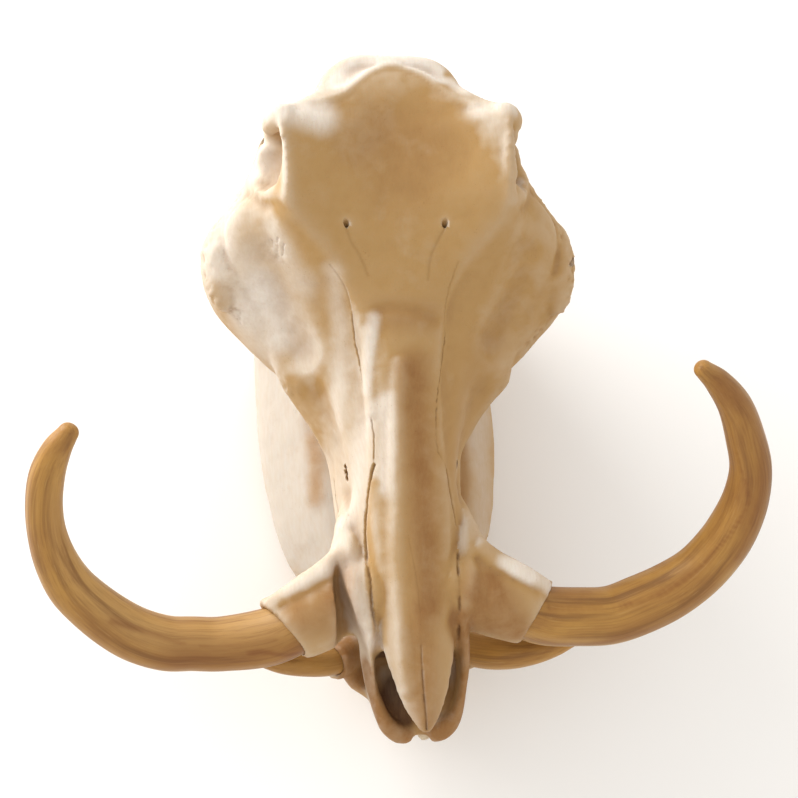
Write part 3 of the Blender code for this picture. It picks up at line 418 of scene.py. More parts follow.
# Painted light and shade: where the amount is positive, a painted highlight makes the bone paler than its
# side of the head would be; where negative, painted shade makes it more tan: path, radius, amount
CRANIUM_LIGHT_AND_SHADE = (
    (((-59.7, 126, 246), (-52, 125, 242.5), (-42, 123, 240.5)), 17, 0.95),  # the right corner of the brow
    (((53, 121, 244), (53, 112, 243.8), (52, 103.7, 241.6), (51, 96, 239), (50, 88, 236.6)), 13, 0.12),
    (((65, 114, 235), (62, 100, 241), (62, 90, 238)), 6, -0.5),
    (((44, 123.5, 241), (57.7, 124, 246), (64, 121, 246)), 8, 0.7),
    (((-62.5, 120, 246.5), (-62.8, 112, 243), (-64, 98, 240), (-64, 86, 237)), 4, 0.7),  # the brow's lip
    (((-69, 125, 240),), 9, 0.5),
    (((-70, 118, 212), (-72.4, 113, 207), (-75.9, 108, 203)), 13, 0.7),  # behind the right eye
    (((-28, 147, 237), (-18, 154, 237), (-9, 159, 237), (0, 161, 237), (9, 160, 237), (20, 155, 236.5),
      (27, 150, 236)), 10, 2.2),  # the white slope behind the crest
    (((-44, 140, 237), (-34, 144, 236)), 7, 0.7), (((34, 146, 236), (42, 139, 237)), 7, 0.9),
    (((31, 149, 234),), 6, -1.2),
    (((18, 88.5, 226), (26, 88.5, 228), (34, 88, 230), (40, 89, 233)), 17, -0.6),
    (((13, 124, 235), (24, 121, 236), (33.5, 119, 238)), 16, -0.6),
    (((-86, 62, 178), (-78, 42, 166), (-72, 26, 155)), 40, 0.5),  # the whole right cheek
    (((-84.9, 104, 186.5), (-90, 96, 187.5), (-92.8, 84, 190), (-95.4, 76.7, 187), (-99, 70.5, 182.8),
      (-101.7, 63, 178.7)), 14, 0.35),  # the edge of the right arch
    (((-104, 57, 166), (-99, 48, 162)), 12, -0.3),
    (((-75.4, 50, 178.2), (-70, 42.8, 173), (-68, 33.4, 165.7), (-66.5, 25, 159.5)), 15, 0.4),
    (((-80, 46, 168), (-86, 40, 158)), 16, 0.3),
    (((-74, 87, 210), (-76, 92, 203)), 16, -0.3),
    (((-68, 72, 206), (-66, 64, 198)), 14, 0.2),
    (((-65, 94, 233), (-65.5, 85, 226), (-66.5, 78, 218)), 8, -0.7),  # before the right eye
    (((-64, 12, 150), (-61, 2, 143)), 14, -0.35),
    (((-40, 8, 157), (-40, -8, 150), (-38, -20, 145)), 10, -0.4),
    (((60, -112, 134), (80, -122, 125)), 9, 0.8), (((54, -109, 138), (68, -116, 134)), 8, 0.9),
    (((-70, -117, 134), (-56, -112, 138), (-42, -104, 141)), 8, 0.8),  # the back of the right sheath
    (((-64, -128, 134), (-56, -134, 135), (-50, -124, 137.5)), 18, -1.0),
    (((-62, -134, 118), (-82, -138, 112)), 18, -0.8),
    (((45, -123, 131), (54, -133, 135), (49, -145, 124)), 18, -1.0),
    (((62, -130, 120), (80, -136, 112)), 18, -0.8),
    (((40, 101, 236),), 20, -0.6), (((30, 100, 238), (44, 90, 238)), 18, -0.4),
    (((-37.1, 46.6, 203.4), (-34.9, 34.4, 189.5), (-32.9, 20.4, 179), (-33.4, 5.8, 170), (-35.6, -8.9, 161),
      (-36.9, -22.6, 148.6)), 10, 0.35),  # the strip beside the nose
    (((-15.4, 21.5, 192.6), (-17.4, 10.9, 186.4), (-19.5, -1.3, 179.3), (-20.5, -13.8, 173)), 6, 0.9),
    (((-9.6, -21.5, 176.5), (-10.8, -42.6, 169.6), (-13.6, -66, 161)), 8, 0.6),
    (((-14.5, -78, 158), (-14.2, -106, 149.4), (-15.2, -127, 142.2), (-15.2, -148, 134.7),
      (-11.8, -169, 128)), 10, -0.5),
    (((-18.4, -25, 171.3), (-24, -38.5, 159), (-27, -59, 149), (-31, -83.4, 132), (-33.7, -108, 139.7),
      (-31.6, -125, 139), (-27.6, -140.7, 130.4), (-24.6, -147, 128.6)), 11, 0.6),
    (((-18.8, -64, 158), (-20, -75, 152), (-21.2, -84.5, 148), (-22.8, -106, 144), (-20.9, -127, 141),
      (-19.8, -148, 131)), 6, -1.3),  # the shaded side of the step
    (((-36, -102, 139), (-36, -112, 138), (-35.5, -124, 136), (-32, -136, 130)), 6, 0.25),
    (((36, -80, 135), (40, -92, 137)), 10, 0.2), (((-36, -82, 135), (-40, -94, 137)), 10, 0.5),
    (((4, 4, 187), (3, -22, 178), (2, -48, 170), (0, -75, 162), (-1, -106, 152), (-2, -138, 142)), 7, -0.8),
    (((29, -107, 141), (29, -129, 139), (30, -149, 125.5)), 11, -1.0),
    (((22, -150, 116), (22, -163, 107.5), (19, -178, 100)), 14, -1.8),  # inside the left nostril
    (((-48.3, 44, 192), (-48.5, 28.4, 176), (-47.3, 14, 166), (-49.3, 0.4, 154), (-45.9, -10.7, 141.6)),
     16, 0.1),
    (((-65, 67, 205), (-60, 56, 196), (-54, 46, 189)), 15, 0.3),
)
# Painted light and shade on the jaw: more tan along the top of its right half, paler down its left side:
# path, radius, amount
JAW_LIGHT_AND_SHADE = (
    (((-45, -9, 68), (-44, -28, 68), (-45, -44, 66)), 10, -0.5),
    (((68, 50, 50), (62, -16, 51), (61, -50, 47), (56, -92, 42)), 27, 0.3),
)
# Dark streaks on the tusks, and painted shadow along their lower edges where they meet the sheaths and the
# lower tusks: path, half width, amount
STAINS_AND_SHADOW_LEFT = (
    (((167, -36, 225), (187, -54, 208), (195, -77, 188), (195, -93, 173), (189, -116, 149)), 9, 0.5),
    (((179, -69, 192), (188, -92, 173), (172, -114, 147), (152, -128, 132), (124, -135, 123),
      (79, -134, 127)), 1.8, 0.6),
    (((117, -153, 109), (150, -148, 118), (176, -134, 136)), 5, 0.5),
    (((60, -150, 118), (80, -153, 112), (100, -154, 108), (117, -153, 109)), 3.5, 0.6),
    (((194, -86, 178), (182, -48, 212)), 15, 0.3),
)
STAINS_AND_SHADOW_RIGHT = (
    (((-167, -127, 133.5), (-152, -131, 126), (-133.5, -138, 120), (-128, -139.5, 119)), 2.0, 0.55),
    (((-120, -141, 117.6), (-98, -142.7, 118.5), (-78, -141.5, 123)), 2.2, 0.55),
    (((-92, -147, 117), (-84, -147, 118), (-69, -149, 116), (-52, -149, 118), (-44, -146, 118)), 3.0, 0.8),
    (((-130, -144, 112), (-100, -147, 114), (-66, -146, 118)), 15, 0.45),
)

# Painted light and shade: faces turned to the light from this direction are painted pale, the rest tan.
# How far a face must turn to that side before it starts to be painted pale, and over what share it does
PAINTED_LIGHT_FROM = (-0.74, 0.62, 0.26)
PAINTED_LIGHT_START = 0.12
PAINTED_LIGHT_OVER = 0.42
# How the skin is smoothed to find its form, round after round, and the depth of a full crease, the height
# of a full edge and the depth of a full hollow against the smoothed skin; creases and hollows get painted
# shade
FORM_ROUNDS = (10, 20, 60)
CREASE_SHADE_DEPTH = 0.5
EDGE_HEIGHT = 1.6
HOLLOW_SHADE_DEPTH = 3.0
# The long grooves of a tusk: depth as a share of its size, place round it and half width in radians
GROOVES = ((0.035, 1.9, 0.35), (0.03, 4.4, 0.45))
# Its finer ripples: how fast they change round it and along it, and their depth
RIPPLES = ((6, 2.2, 0.010), (22, 5, 0.004), (1, 9, 0.006))
# Its tip: how far it reaches as a share of the last half thickness, its rings, and how full it is
FINE_TIP = (0.92, 8, 0.8)

# Colours, as linear light
# BONE_LIGHT and JAW_LIGHT are the bone on faces painted as lit, BONE_TAN the painted shade on the rest and
# the tan of its patches and grain, and BONE_PALE the colour of painted highlights
BONE_LIGHT = (0.60, 0.50, 0.39)
BONE_PALE = (0.82, 0.755, 0.68)
JAW_LIGHT = (0.535, 0.485, 0.425)
BONE_TAN = (0.435, 0.265, 0.105)
BONE_BROWN = (0.29, 0.142, 0.05)
# The cream laid on convex edges
EDGE_CREAM = (0.70, 0.62, 0.52)
# The brown of painted shade in hollows and creases, and of pores and the lines down the enamel
SHADE_AND_MARK_BROWN = (0.24, 0.115, 0.045)
# Painted shade deep inside the nostrils
NOSTRIL_SHADE = (0.08, 0.03, 0.013)
DIRT = (0.09, 0.038, 0.015)
IVORY_OCHRE = (0.44, 0.235, 0.06)
IVORY_TAN = (0.33, 0.16, 0.045)
IVORY_PALE = (0.52, 0.33, 0.13)
IVORY_BROWN = (0.20, 0.092, 0.03)
IVORY_STAIN_AND_SHADOW = (0.19, 0.065, 0.02)
ENAMEL = (0.72, 0.60, 0.42)
ENAMEL_STAIN = (0.42, 0.28, 0.14)
FLOOR = (0.96, 0.96, 0.96)
FLOOR_SHADE = (0.945, 0.945, 0.94)

# The camera: what it looks at, from which side, how far, how turned, and its focal length
CAMERA_TARGET = (0.0032, 0.0091, 0.14)
CAMERA_BACK = (-0.12978, -0.31644, 0.93969)
CAMERA_DISTANCE = 0.9
CAMERA_ROLL = 18.29
CAMERA_LENS = 69.74

# Lights: name, direction, distance, size, power, colour
LIGHTS = (
    ("window", (-0.72, 0.66, 0.24), 1.5, 1.1, 28, (1, 0.98, 0.95)),
)
LIGHT_TARGET = (0, 0, 0.12)
ROOM_COLOUR = (1.0, 0.97, 0.93)
ROOM_STRENGTH = 1.0


def mm(*values):
    """Millimetres as metres: one number, or a point."""
    return values[0] * 0.001 if len(values) == 1 else Vector(values) * 0.001


def on_side(point, side):
    """A point of the left side as it is, for side 1, or its mirror image, for side -1."""
    return (side * point[0], *point[1:])


def column(table, index):
    """One column of a table whose first column is y, as (y, value), from front to back."""
    return tuple(sorted((row[0], row[index]) for row in table))


def profile(knots, at):
    """A smooth curve through (place, value) knots, without overshoot, read at one place."""
    places, values = (np.array(side, float) for side in zip(*knots))
    steps = np.diff(places)
    slopes = np.diff(values) / steps
    turning = np.zeros(len(places))
    for i in range(1, len(places) - 1):
        if slopes[i - 1] * slopes[i] > 0:
            turning[i] = 2 * slopes[i - 1] * slopes[i] / (slopes[i - 1] + slopes[i])
    turning[0], turning[-1] = slopes[0], slopes[-1]
    at = min(max(at, places[0]), places[-1])
    i = min(int(np.searchsorted(places, at, side="right")) - 1, len(steps) - 1)
    t = (at - places[i]) / steps[i]
    return (
        (2 * t**3 - 3 * t**2 + 1) * values[i]
        + (t**3 - 2 * t**2 + t) * steps[i] * turning[i]
        + (3 * t**2 - 2 * t**3) * values[i + 1]
        + (t**3 - t**2) * steps[i] * turning[i + 1]
    )


def between(a, b, c, d, t):
    """A point of the smooth curve that runs from b to c, with a before it and d after it."""
    bend = 2 * a - 5 * b + 4 * c - d
    return 0.5 * (2 * b + (c - a) * t + bend * t**2 + (3 * b - a - 3 * c + d) * t**3)


def smooth_path(points, count):
    """count points on a smooth open curve through the given ones."""
    points = [Vector(p) for p in points]
    ends = [2 * points[0] - points[1]] + points + [2 * points[-1] - points[-2]]
    path = []
    for k in range(count):
        s = k / (count - 1) * (len(points) - 1)
        i = min(int(s), len(points) - 2)
        path.append(between(*ends[i : i + 4], s - i))
    return path


def closed_curve(corners, count):
    """count points round a smooth closed curve through the corners."""
    n = len(corners)
    ring = []
    for k in range(count):
        s = k / count * n
        i = int(s)
        ring.append(between(*(corners[(i + j) % n] for j in (-1, 0, 1, 2)), s - i))
    return ring


def cross_section(half, top, base, y, count):
    """A closed ring at y, from the (x, z) corners of one half and the middle's top and base."""
    corners = [(0, top)] + half + [(0, base)] + [(-x, z) for x, z in reversed(half)]
    return closed_curve([Vector((x, y, z)) for x, z in corners], count)


def new_object(name, bm):
    """A mesh object from bm, with its faces pointing out."""
    bmesh.ops.recalc_face_normals(bm, faces=bm.faces)
    mesh = bpy.data.meshes.new(name)
    bm.to_mesh(mesh)
    bm.free()
    made = bpy.data.objects.new(name, mesh)
    bpy.context.scene.collection.objects.link(made)
    return made


def loft(name, rings):
    """A closed skin over rings of points, in millimetres, with both ends capped."""
    bm = bmesh.new()
    rows = [[bm.verts.new(mm(*p)) for p in ring] for ring in rings]
    for lower, upper in zip(rows, rows[1:]):
        for k in range(len(lower)):
            j = (k + 1) % len(lower)
            bm.faces.new((lower[k], lower[j], upper[j], upper[k]))
    for row in (rows[0], rows[-1]):
        bm.faces.new(row)
    bmesh.ops.triangulate(bm, faces=[f for f in bm.faces if len(f.verts) > 4])
    return new_object(name, bm)


def oval(centre, up, side, count):
    """A ring of points round centre, from the two half axes of an oval."""
    turns = (math.tau * j / count for j in range(count))
    return [centre + up * math.cos(a) + side * math.sin(a) for a in turns]


def sweep(name, stations, count, sides=20, lean=UP):
    """A bar of oval section through its stations: x, y, z, half height, half thickness."""
    centres = smooth_path([s[:3] for s in stations], count)
    sizes = smooth_path([(s[3], s[4], 0) for s in stations], count)
    rings = []
    for k, (centre, size) in enumerate(zip(centres, sizes)):
        along = (centres[min(k + 1, count - 1)] - centres[max(k - 1, 0)]).normalized()
        side = along.cross(lean).normalized()
        up = side.cross(along).normalized()
        rings.append(oval(centre, up * size.x, side * size.y, sides))
    return loft(name, rings)


def ellipsoid(name, centre, radii, turn=(0, 0, 0)):
    """An ellipsoid turned by degrees about X, then Y, then Z."""
    bm = bmesh.new()
    bmesh.ops.create_uvsphere(bm, u_segments=24, v_segments=14, radius=1)
    turned = Matrix.Identity(4)
    for axis, angle in zip("XYZ", turn):
        turned = Matrix.Rotation(math.radians(angle), 4, axis) @ turned
    shape = Matrix.Translation(mm(*centre)) @ turned @ Matrix.Diagonal((*mm(*radii), 1))
    bmesh.ops.transform(bm, matrix=shape, verts=bm.verts)
    return new_object(name, bm)


def block(name, centre, size):
    bm = bmesh.new()
    bmesh.ops.create_cube(bm, size=1)
    shape = Matrix.Translation(mm(*centre)) @ Matrix.Diagonal((*mm(*size), 1))
    bmesh.ops.transform(bm, matrix=shape, verts=bm.verts)
    return new_object(name, bm)


def both_sides(piece):
    """The piece, and the same piece on the other side of the head."""
    bm = bmesh.new()
    bm.from_mesh(piece.data)
    bmesh.ops.scale(bm, vec=(-1, 1, 1), verts=bm.verts)
    return [piece, new_object(piece.name + "_mirror", bm)]


def apply_modifiers(obj):
    """Replaces the mesh by what its modifiers make of it."""
    graph = bpy.context.evaluated_depsgraph_get()
    result = bpy.data.meshes.new_from_object(obj.evaluated_get(graph))
    obj.modifiers.clear()
    obj.data = result


def combine(obj, others, operation):
    """Joins the others to obj, or cuts them out of it, and removes them."""
    group = bpy.data.collections.new(obj.name + "_" + operation.lower())
    for other in others:
        group.objects.link(other)
    boolean = obj.modifiers.new(operation.title(), "BOOLEAN")
    boolean.operation = operation
    boolean.operand_type = "COLLECTION"
    boolean.collection = group
    boolean.solver = "MANIFOLD"
    apply_modifiers(obj)
    for other in others:
        bpy.data.objects.remove(other)
    bpy.data.collections.remove(group)


def island_of(start, left):
    """The vertices joined to start, taken out of the set that is left."""
    island, edge = {start}, [start]
    while edge:
        for link in edge.pop().link_edges:
            for vert in link.verts:
                if vert in left:
                    left.discard(vert)
                    island.add(vert)
                    edge.append(vert)
    return island


def keep_largest(obj):
    """Drops every loose scrap, and keeps the largest closed surface."""
    bm = bmesh.new()
    bm.from_mesh(obj.data)
    left, islands = set(bm.verts), []
    while left:
        islands.append(island_of(left.pop(), left))
    islands.sort(key=len)
    for island in islands[:-1]:
        bmesh.ops.delete(bm, geom=list(island), context="VERTS")
    bm.to_mesh(obj.data)
    bm.free()


def grow_together(name, pieces, hollows):
    """Overlapping pieces, less the hollows, as one bone: a fine skin over all, its joins smoothed."""
    bone = pieces[0]
    bone.name = bone.data.name = name
    combine(bone, pieces[1:], "UNION")
    if hollows:
        combine(bone, hollows, "DIFFERENCE")
    remesh = bone.modifiers.new("Skin", "REMESH")
    remesh.mode = "VOXEL"
    remesh.voxel_size = mm(SKIN_GRAIN)
    soften = bone.modifiers.new("Soften", "SMOOTH")
    soften.factor = 0.5
    soften.iterations = SOFTENING
    apply_modifiers(bone)
    return bone


def read_points(mesh, kind="co"):
    """A vertex value of the mesh as rows of x, y, z."""
    values = np.empty(len(mesh.vertices) * 3)
    mesh.vertices.foreach_get(kind, values)
    return values.reshape(-1, 3)


def move_points(mesh, co):
    mesh.vertices.foreach_set("co", co.ravel())
    mesh.update()


def stroke(obj, path, radius, height, sides):
    """Raises the skin within radius of a path, or hollows it where height is negative."""
    co, normal = read_points(obj.data), read_points(obj.data, "normal")
    length = sum((Vector(b) - Vector(a)).length for a, b in zip(path, path[1:]))
    marks = smooth_path(path, int(length) + 2) if len(path) > 1 else [Vector(path[0])]
    near = np.full(len(co), np.inf)
    for side in sides:
        for mark in marks:
            gap = np.linalg.norm(co * 1000 - (side * mark.x, mark.y, mark.z), axis=1)
            near = np.minimum(near, gap)
    share = np.clip(1 - (near / radius) ** 2, 0, 1) ** 2
    move_points(obj.data, co + normal * (share * mm(height))[:, None])


def ease(t):
    """From 0 to 1 without a jerk, as t goes from 0 to 1."""
    t = np.clip(t, 0, 1)
    return t * t * (3 - 2 * t)


def lopsided(obj):
    """A real head's unevenness: one cheek sits further back, and the snout bends a little."""
    co = read_points(obj.data)
    x, y = co[:, 0] * 1000, co[:, 1] * 1000
    bend = ease((BEND_FROM[0] - y) / BEND_FROM[1])
    on_cheeks = ease((y - SKEW_FROM[0]) / SKEW_FROM[1])
    on_cheeks *= 1 - SKEW_FADE[2] * ease((y - SKEW_FADE[0]) / SKEW_FADE[1])
    co[:, 0] += mm(SNOUT_BEND) * bend
    co[:, 1] -= mm(CHEEK_SKEW) * x * on_cheeks
    move_points(obj.data, co)


def face_ring(y):
    """One cross-section of the face, from the roof round one side to the palate and back."""
    roof, roof_half, drop = (profile(table, y) for table in (ROOF_Z, ROOF_HALF, ROOF_DROP))
    base_half, base, palate = (profile(table, y) for table in (BASE_HALF, BASE_Z, PALATE_Z))
    half = [
        (roof_half * 0.5, roof - drop * 0.22),
        (roof_half * 0.88, roof - drop * 0.75),
        (roof_half, roof - drop - 4),
        (profile(WALL_HALF, y), profile(WALL_Z, y)),
        (profile(CHEEK_HALF, y), profile(CHEEK_Z, y)),
        (base_half, base),
        (base_half * 0.62, base * 0.6 + palate * 0.4),
    ]
    return cross_section(half, roof, palate, y, 64)


def face():
    return loft("face", [face_ring(y) for y in np.linspace(*FACE_ENDS, 48)])


def around_the_eye():
    """The cheek arch, the rim of the eye socket, and the post that comes down to it from the brow."""
    return [
        *both_sides(sweep("arch", ARCH, 40)),
        *both_sides(sweep("eye_rim", EYE_RIM, 24, lean=Vector((1, 0, 0.3)))),
        *both_sides(sweep("brow_post", BROW_POST, 12, lean=BACK)),
        *both_sides(ellipsoid("eye_floor", *EYE_FLOOR)),
        *both_sides(ellipsoid("eye_back", *EYE_BACK)),
        ellipsoid("left_brow_edge", *LEFT_BROW_EDGE),
        *both_sides(ellipsoid("arch_top", *ARCH_TOP)),
    ]


def back_of_head():
    """The braincase, the crest that runs over it from ear to ear, and what carries the neck."""
    over = [(-x, y, z, high, thick) for x, y, z, high, thick in CREST[:0:-1]] + list(CREST)
    return [
        sweep("crest", over, 48, lean=BACK),
        ellipsoid("braincase", *BRAINCASE),
        ellipsoid("occiput", *OCCIPUT),
        *both_sides(ellipsoid("condyle", *CONDYLE)),
        *both_sides(ellipsoid("ear_bone", *EAR_BONE)),
        *both_sides(sweep("neck_spur", NECK_SPUR, 16, lean=BACK)),
        *both_sides(sweep("ear_root", EAR_ROOT, 12)),
        *both_sides(sweep("palate_wing", PALATE_WING, 16)),
    ]


def nose_bones():
    """The pair of nose bones, arched across and tapering to a point."""
    tables = [column(NOSE, j) for j in (1, 2, 3)]
    rings = []
    for y in np.linspace(NOSE[-1][0], NOSE[0][0], 16):
        z, half, thick = (profile(table, y) for table in tables)
        side = [(half * 0.6, z + thick * 0.8), (half, z - thick * 0.2), (half * 0.9, z - thick)]
        rings.append(cross_section(side, z + thick, z - thick * 0.7, y, 24))
    return loft("nose_bones", rings)


def snout():
    """The nose bones over the two rails, the floor between them, and a filling beside the left nostril."""
    floor = ellipsoid("snout_floor", *SNOUT_FLOOR)
    beside = sweep("beside_nostril", BESIDE_NOSTRIL, 10)
    return [nose_bones(), floor, beside, *both_sides(sweep("rail", RAIL, 24))]


def tusk_sheaths():
    """The sheaths of bone round the upper tusks' roots, the crest on their backs and the web behind."""
    return [
        *both_sides(sweep("sheath", SHEATH, 20, sides=24)),
        *both_sides(sweep("sheath_crest", SHEATH_CREST, 14)),
        *both_sides(sweep("sheath_web", SHEATH_WEB, 12)),
        *both_sides(ellipsoid("web_root", *WEB_ROOT)),
    ]


def cranium_hollows():
    """Everything that is open in the bone, and what trims the mouths of the sheaths."""
    mouth = block("mouth", *MOUTH_BLOCK)
    turn = Matrix.Rotation(math.radians(MOUTH_TURN), 4, "Z")
    mouth.data.transform(Matrix.Translation(mm(*MOUTH_PLACE)) @ turn)
    pairs = [ellipsoid("hollow", *one) for one in (EYE_HOLLOW, ARCH_PASSAGE, BEHIND_EYE)]
    hollows = [hollow for one in (*pairs, mouth) for hollow in both_sides(one)]
    ways = (FOLD_RIGHT, FOLD_LEFT, AIR_PASSAGE)
    return hollows + [sweep("way", one, 16) for one in ways] + [ellipsoid("spine_hole", *SPINE_HOLE)]


def tusk_frames(stations, count):
    """Points along a tusk's middle, with the two directions square to it."""
    centres = smooth_path([s[:3] for s in stations], count)
    frames = []
    for k, centre in enumerate(centres):
        along = (centres[min(k + 1, count - 1)] - centres[max(k - 1, 0)]).normalized()
        across = along.cross(TUSK_PLANE).normalized()
        frames.append((centre, across.cross(along).normalized(), across))
    return frames


def rounded_tip(last, frames, reach, count, fullness=1.0):
    """The rings that round off a tusk beyond its last one."""
    before, centre = frames[-2][0], frames[-1][0]
    along = (centre - before).normalized()
    rings = []
    for k in range(1, count):
        turn = math.pi / 2 * k / count
        tip = centre + along * (reach * math.sin(turn))
        rings.append([tip + (p - centre) * math.cos(turn) ** fullness for p in last])
    return rings


def tusk(name, stations, spare=0.0):
    """A tusk with a rounded tip. spare makes it thicker all round and longer at the root, as a cutter."""
    root, second = Vector(stations[0][:3]), Vector(stations[1][:3])
    root += (root - second).normalized() * spare
    frames = tusk_frames([tuple(root), *stations[1:]], TUSK_RINGS)
    sizes = smooth_path([(s[3] + spare, s[4] + spare, 0) for s in stations], TUSK_RINGS)
    rings = []
    for (centre, through, across), size in zip(frames, sizes):
        rings.append(oval(centre, through * size.x, across * size.y, TUSK_SIDES))
    return loft(name, rings + rounded_tip(rings[-1], frames, sizes[-1].x, TUSK_TIP_RINGS))


def jaw_half():
    """One side of the jaw's body: the tooth row inside, and the cheek bulging outwards."""
    rings = []
    for y in np.linspace(*JAW_ENDS, 40):
        outer, inner, top, base = (profile(t, y) for t in (JAW_OUTER, JAW_INNER, JAW_TOP, JAW_BASE))
        deep, wide = top - base, outer - inner
        corners = [
            (inner + wide * 0.10, top),
            (inner + wide * 0.42, top - 1),
            (inner + wide * 0.78, top - deep * 0.30),
            (outer, base + deep * 0.42),
            (inner + wide * 0.90, base + deep * 0.14),
            (inner + wide * 0.62, base),
            (inner + wide * 0.34, base + deep * 0.10),
            (inner, base + deep * 0.45),
        ]
        rings.append(closed_curve([Vector((x, y, z)) for x, z in corners], 32))
    return loft("jaw_half", rings)


def chin():
    """The front of the jaw, where its halves are one, dished on top between the tusks."""
    tables = [column(CHIN, j) for j in (1, 2, 3)]
    rings = []
    for y in np.linspace(CHIN[-1][0], CHIN[0][0], 28):
        half, top, base = (profile(table, y) for table in tables)
        deep = top - base
        side = [
            (half * 0.6, top - 3),
            (half * 0.92, top),
            (half, top - deep * 0.35),
            (half * 0.7, base + deep * 0.1),
        ]
        rings.append(cross_section(side, top - 6, base, y, 32))
    return loft("chin", rings)


def jaw_pieces():
    """Both halves of the jaw, the chin, the sheaths of the lower tusks, and the upright plates."""
    return [
        *both_sides(jaw_half()),
        chin(),
        *both_sides(sweep("lower_sheath", LOWER_SHEATH, 10)),
        *both_sides(sweep("ramus", RAMUS, 24, lean=BACK)),
        *both_sides(ellipsoid("joint_knob", *JOINT_KNOB)),
        *both_sides(sweep("joint_neck", JOINT_NECK, 10, lean=BACK)),
        *both_sides(sweep("spur", SPUR, 12, lean=BACK)),
    ]


def incisors(pegs):
    return [one for k, peg in enumerate(pegs) for one in both_sides(sweep(f"incisor_{k}", peg, 6, sides=8))]


def bar(name, start, end, radius):
    """A round bar between two points, as a cutter for a hole, a little wider at its mouth."""
    middle = [start[i] * 0.5 + end[i] * 0.5 for i in range(3)]
    sizes = (radius * 1.25, radius, radius * 0.9)
    stations = [(*point, size, size) for point, size in zip((start, middle, end), sizes)]
    lean = BACK if abs(end[2] - start[2]) > abs(end[1] - start[1]) else UP
    return sweep(name, stations, 8, sides=14, lean=lean)


def jagged(path, count, wander, phase=0.0):
    """The path with small random turns, as a seam between two bones has."""
    points = smooth_path(path, count)
    return [p + noise.noise_vector(p * SEAM_TURNS + Vector((phase, 0, SEED))) * wander for p in points]


def gap_to(co, path, reach):
    """How far each point is from the path, in millimetres, or reach where it is further."""
    gap = np.full(len(co), float(reach))
    marks = np.array([tuple(p) for p in path])
    low, high = marks.min(0) - reach, marks.max(0) + reach
    near = np.nonzero(((co > low) & (co < high)).all(1))[0]
    for mark in marks:
        gap[near] = np.minimum(gap[near], np.linalg.norm(co[near] - mark, axis=1))
    return gap


def seam_paths(seams):
    """Each seam as dense points with its half width and depth, on one side or both."""
    made = []
    for index, (path, half, depth, dark, wander, sides) in enumerate(seams):
        length = sum((Vector(b) - Vector(a)).length for a, b in zip(path, path[1:]))
        for side in sides:
            there = [on_side(point, side) for point in path]
            points = jagged(there, int(length / SEAM_STEP), wander, index * 3.1 + side)
            made.append((points, half, depth, dark))
    return made


def refine_near(obj, paths, reach):
    """Cuts the skin finer within reach of the paths."""
    co = read_points(obj.data) * 1000
    near = np.zeros(len(co), bool)
    for path in paths:
        near |= gap_to(co, path, reach + 1) < reach
    bm = bmesh.new()
    bm.from_mesh(obj.data)
    bm.verts.ensure_lookup_table()
    chosen = [e for e in bm.edges if near[e.verts[0].index] and near[e.verts[1].index]]
    bmesh.ops.subdivide_edges(bm, edges=chosen, cuts=1, use_grid_fill=True)
    bm.to_mesh(obj.data)
    bm.free()


def engrave(obj, seams):
    """Cuts the seams into the skin and remembers where they are."""
    paths = seam_paths(seams)
    for reach in SEAM_REFINED:
        refine_near(obj, [one[0] for one in paths], reach)
    co, normal = read_points(obj.data) * 1000, read_points(obj.data, "normal")
    down, mark = np.zeros(len(co)), np.zeros(len(co))
    lip, away, width = SEAM_LIP
    for path, half, depth, dark in paths:
        gap = gap_to(co, path, SEAM_REACH)
        shape = np.exp(-((gap / half) ** 2))
        down = np.maximum(down, shape * depth)
        mark = np.maximum(mark, shape * dark)
        down -= lip * np.exp(-(((gap - away) / width) ** 2))
    move_points(obj.data, (co - normal * down[:, None]) * 0.001)
    return mark


def bumps(points, size, octaves, phase):
    """Smooth random values at points, about -1 to 1, with features of the given size in millimetres."""
    out = np.empty(len(points))
    for k, (x, y, z) in enumerate(points / size):
        out[k] = noise.fractal(Vector((x + phase, y, z)), 0.8, 2.1, octaves)
    return out


def uneven(co, height, size, octaves, phase):
    """Smooth random heights at points, up to the given height, which may differ from point to point."""
    return height * bumps(co, size, octaves, phase)


def weather(obj, spots):
    """The uneven, worn surface of real bone, rougher where muscles held."""
    co, normal = read_points(obj.data) * 1000, read_points(obj.data, "normal")
    rough = np.zeros(len(co))
    for centre, radius, sides in spots:
        for side in sides:
            gap = np.linalg.norm(co - on_side(centre, side), axis=1)
            rough = np.maximum(rough, np.clip(1 - (gap / radius) ** 2, 0, 1))
    height = uneven(co, *SKIN_BROAD) + uneven(co, *SKIN_FINE)
    height += uneven(co, rough * SKIN_ROUGH[0], *SKIN_ROUGH[1:])
    for rim in RAGGED:
        near = ease(1 - gap_to(co, smooth_path(rim, 60), RAGGED_REACH) / RAGGED_REACH)
        height += uneven(co, near * SKIN_RAGGED[0], *SKIN_RAGGED[1:])
    move_points(obj.data, (co + normal * height[:, None]) * 0.001)
    return rough


def relaxed(mesh, co, rounds):
    """The points after each has moved rounds times to the middle of its neighbours."""
    ends = np.empty(len(mesh.edges) * 2, int)
    mesh.edges.foreach_get("vertices", ends)
    a, b = ends[::2], ends[1::2]
    both, other = np.concatenate((a, b)), np.concatenate((b, a))
    share = np.bincount(both, minlength=len(co))[:, None]
    for _ in range(rounds):
        total = [np.bincount(both, co[other, axis], minlength=len(co)) for axis in range(3)]
        co = 0.5 * co + 0.5 * np.stack(total, 1) / share
    return co


def remember(mesh, name, values):
    """Stores one number for each point, for the material to read."""
    made = mesh.attributes.new(name, "FLOAT", "POINT")
    made.data.foreach_set("value", values.astype(np.float32))


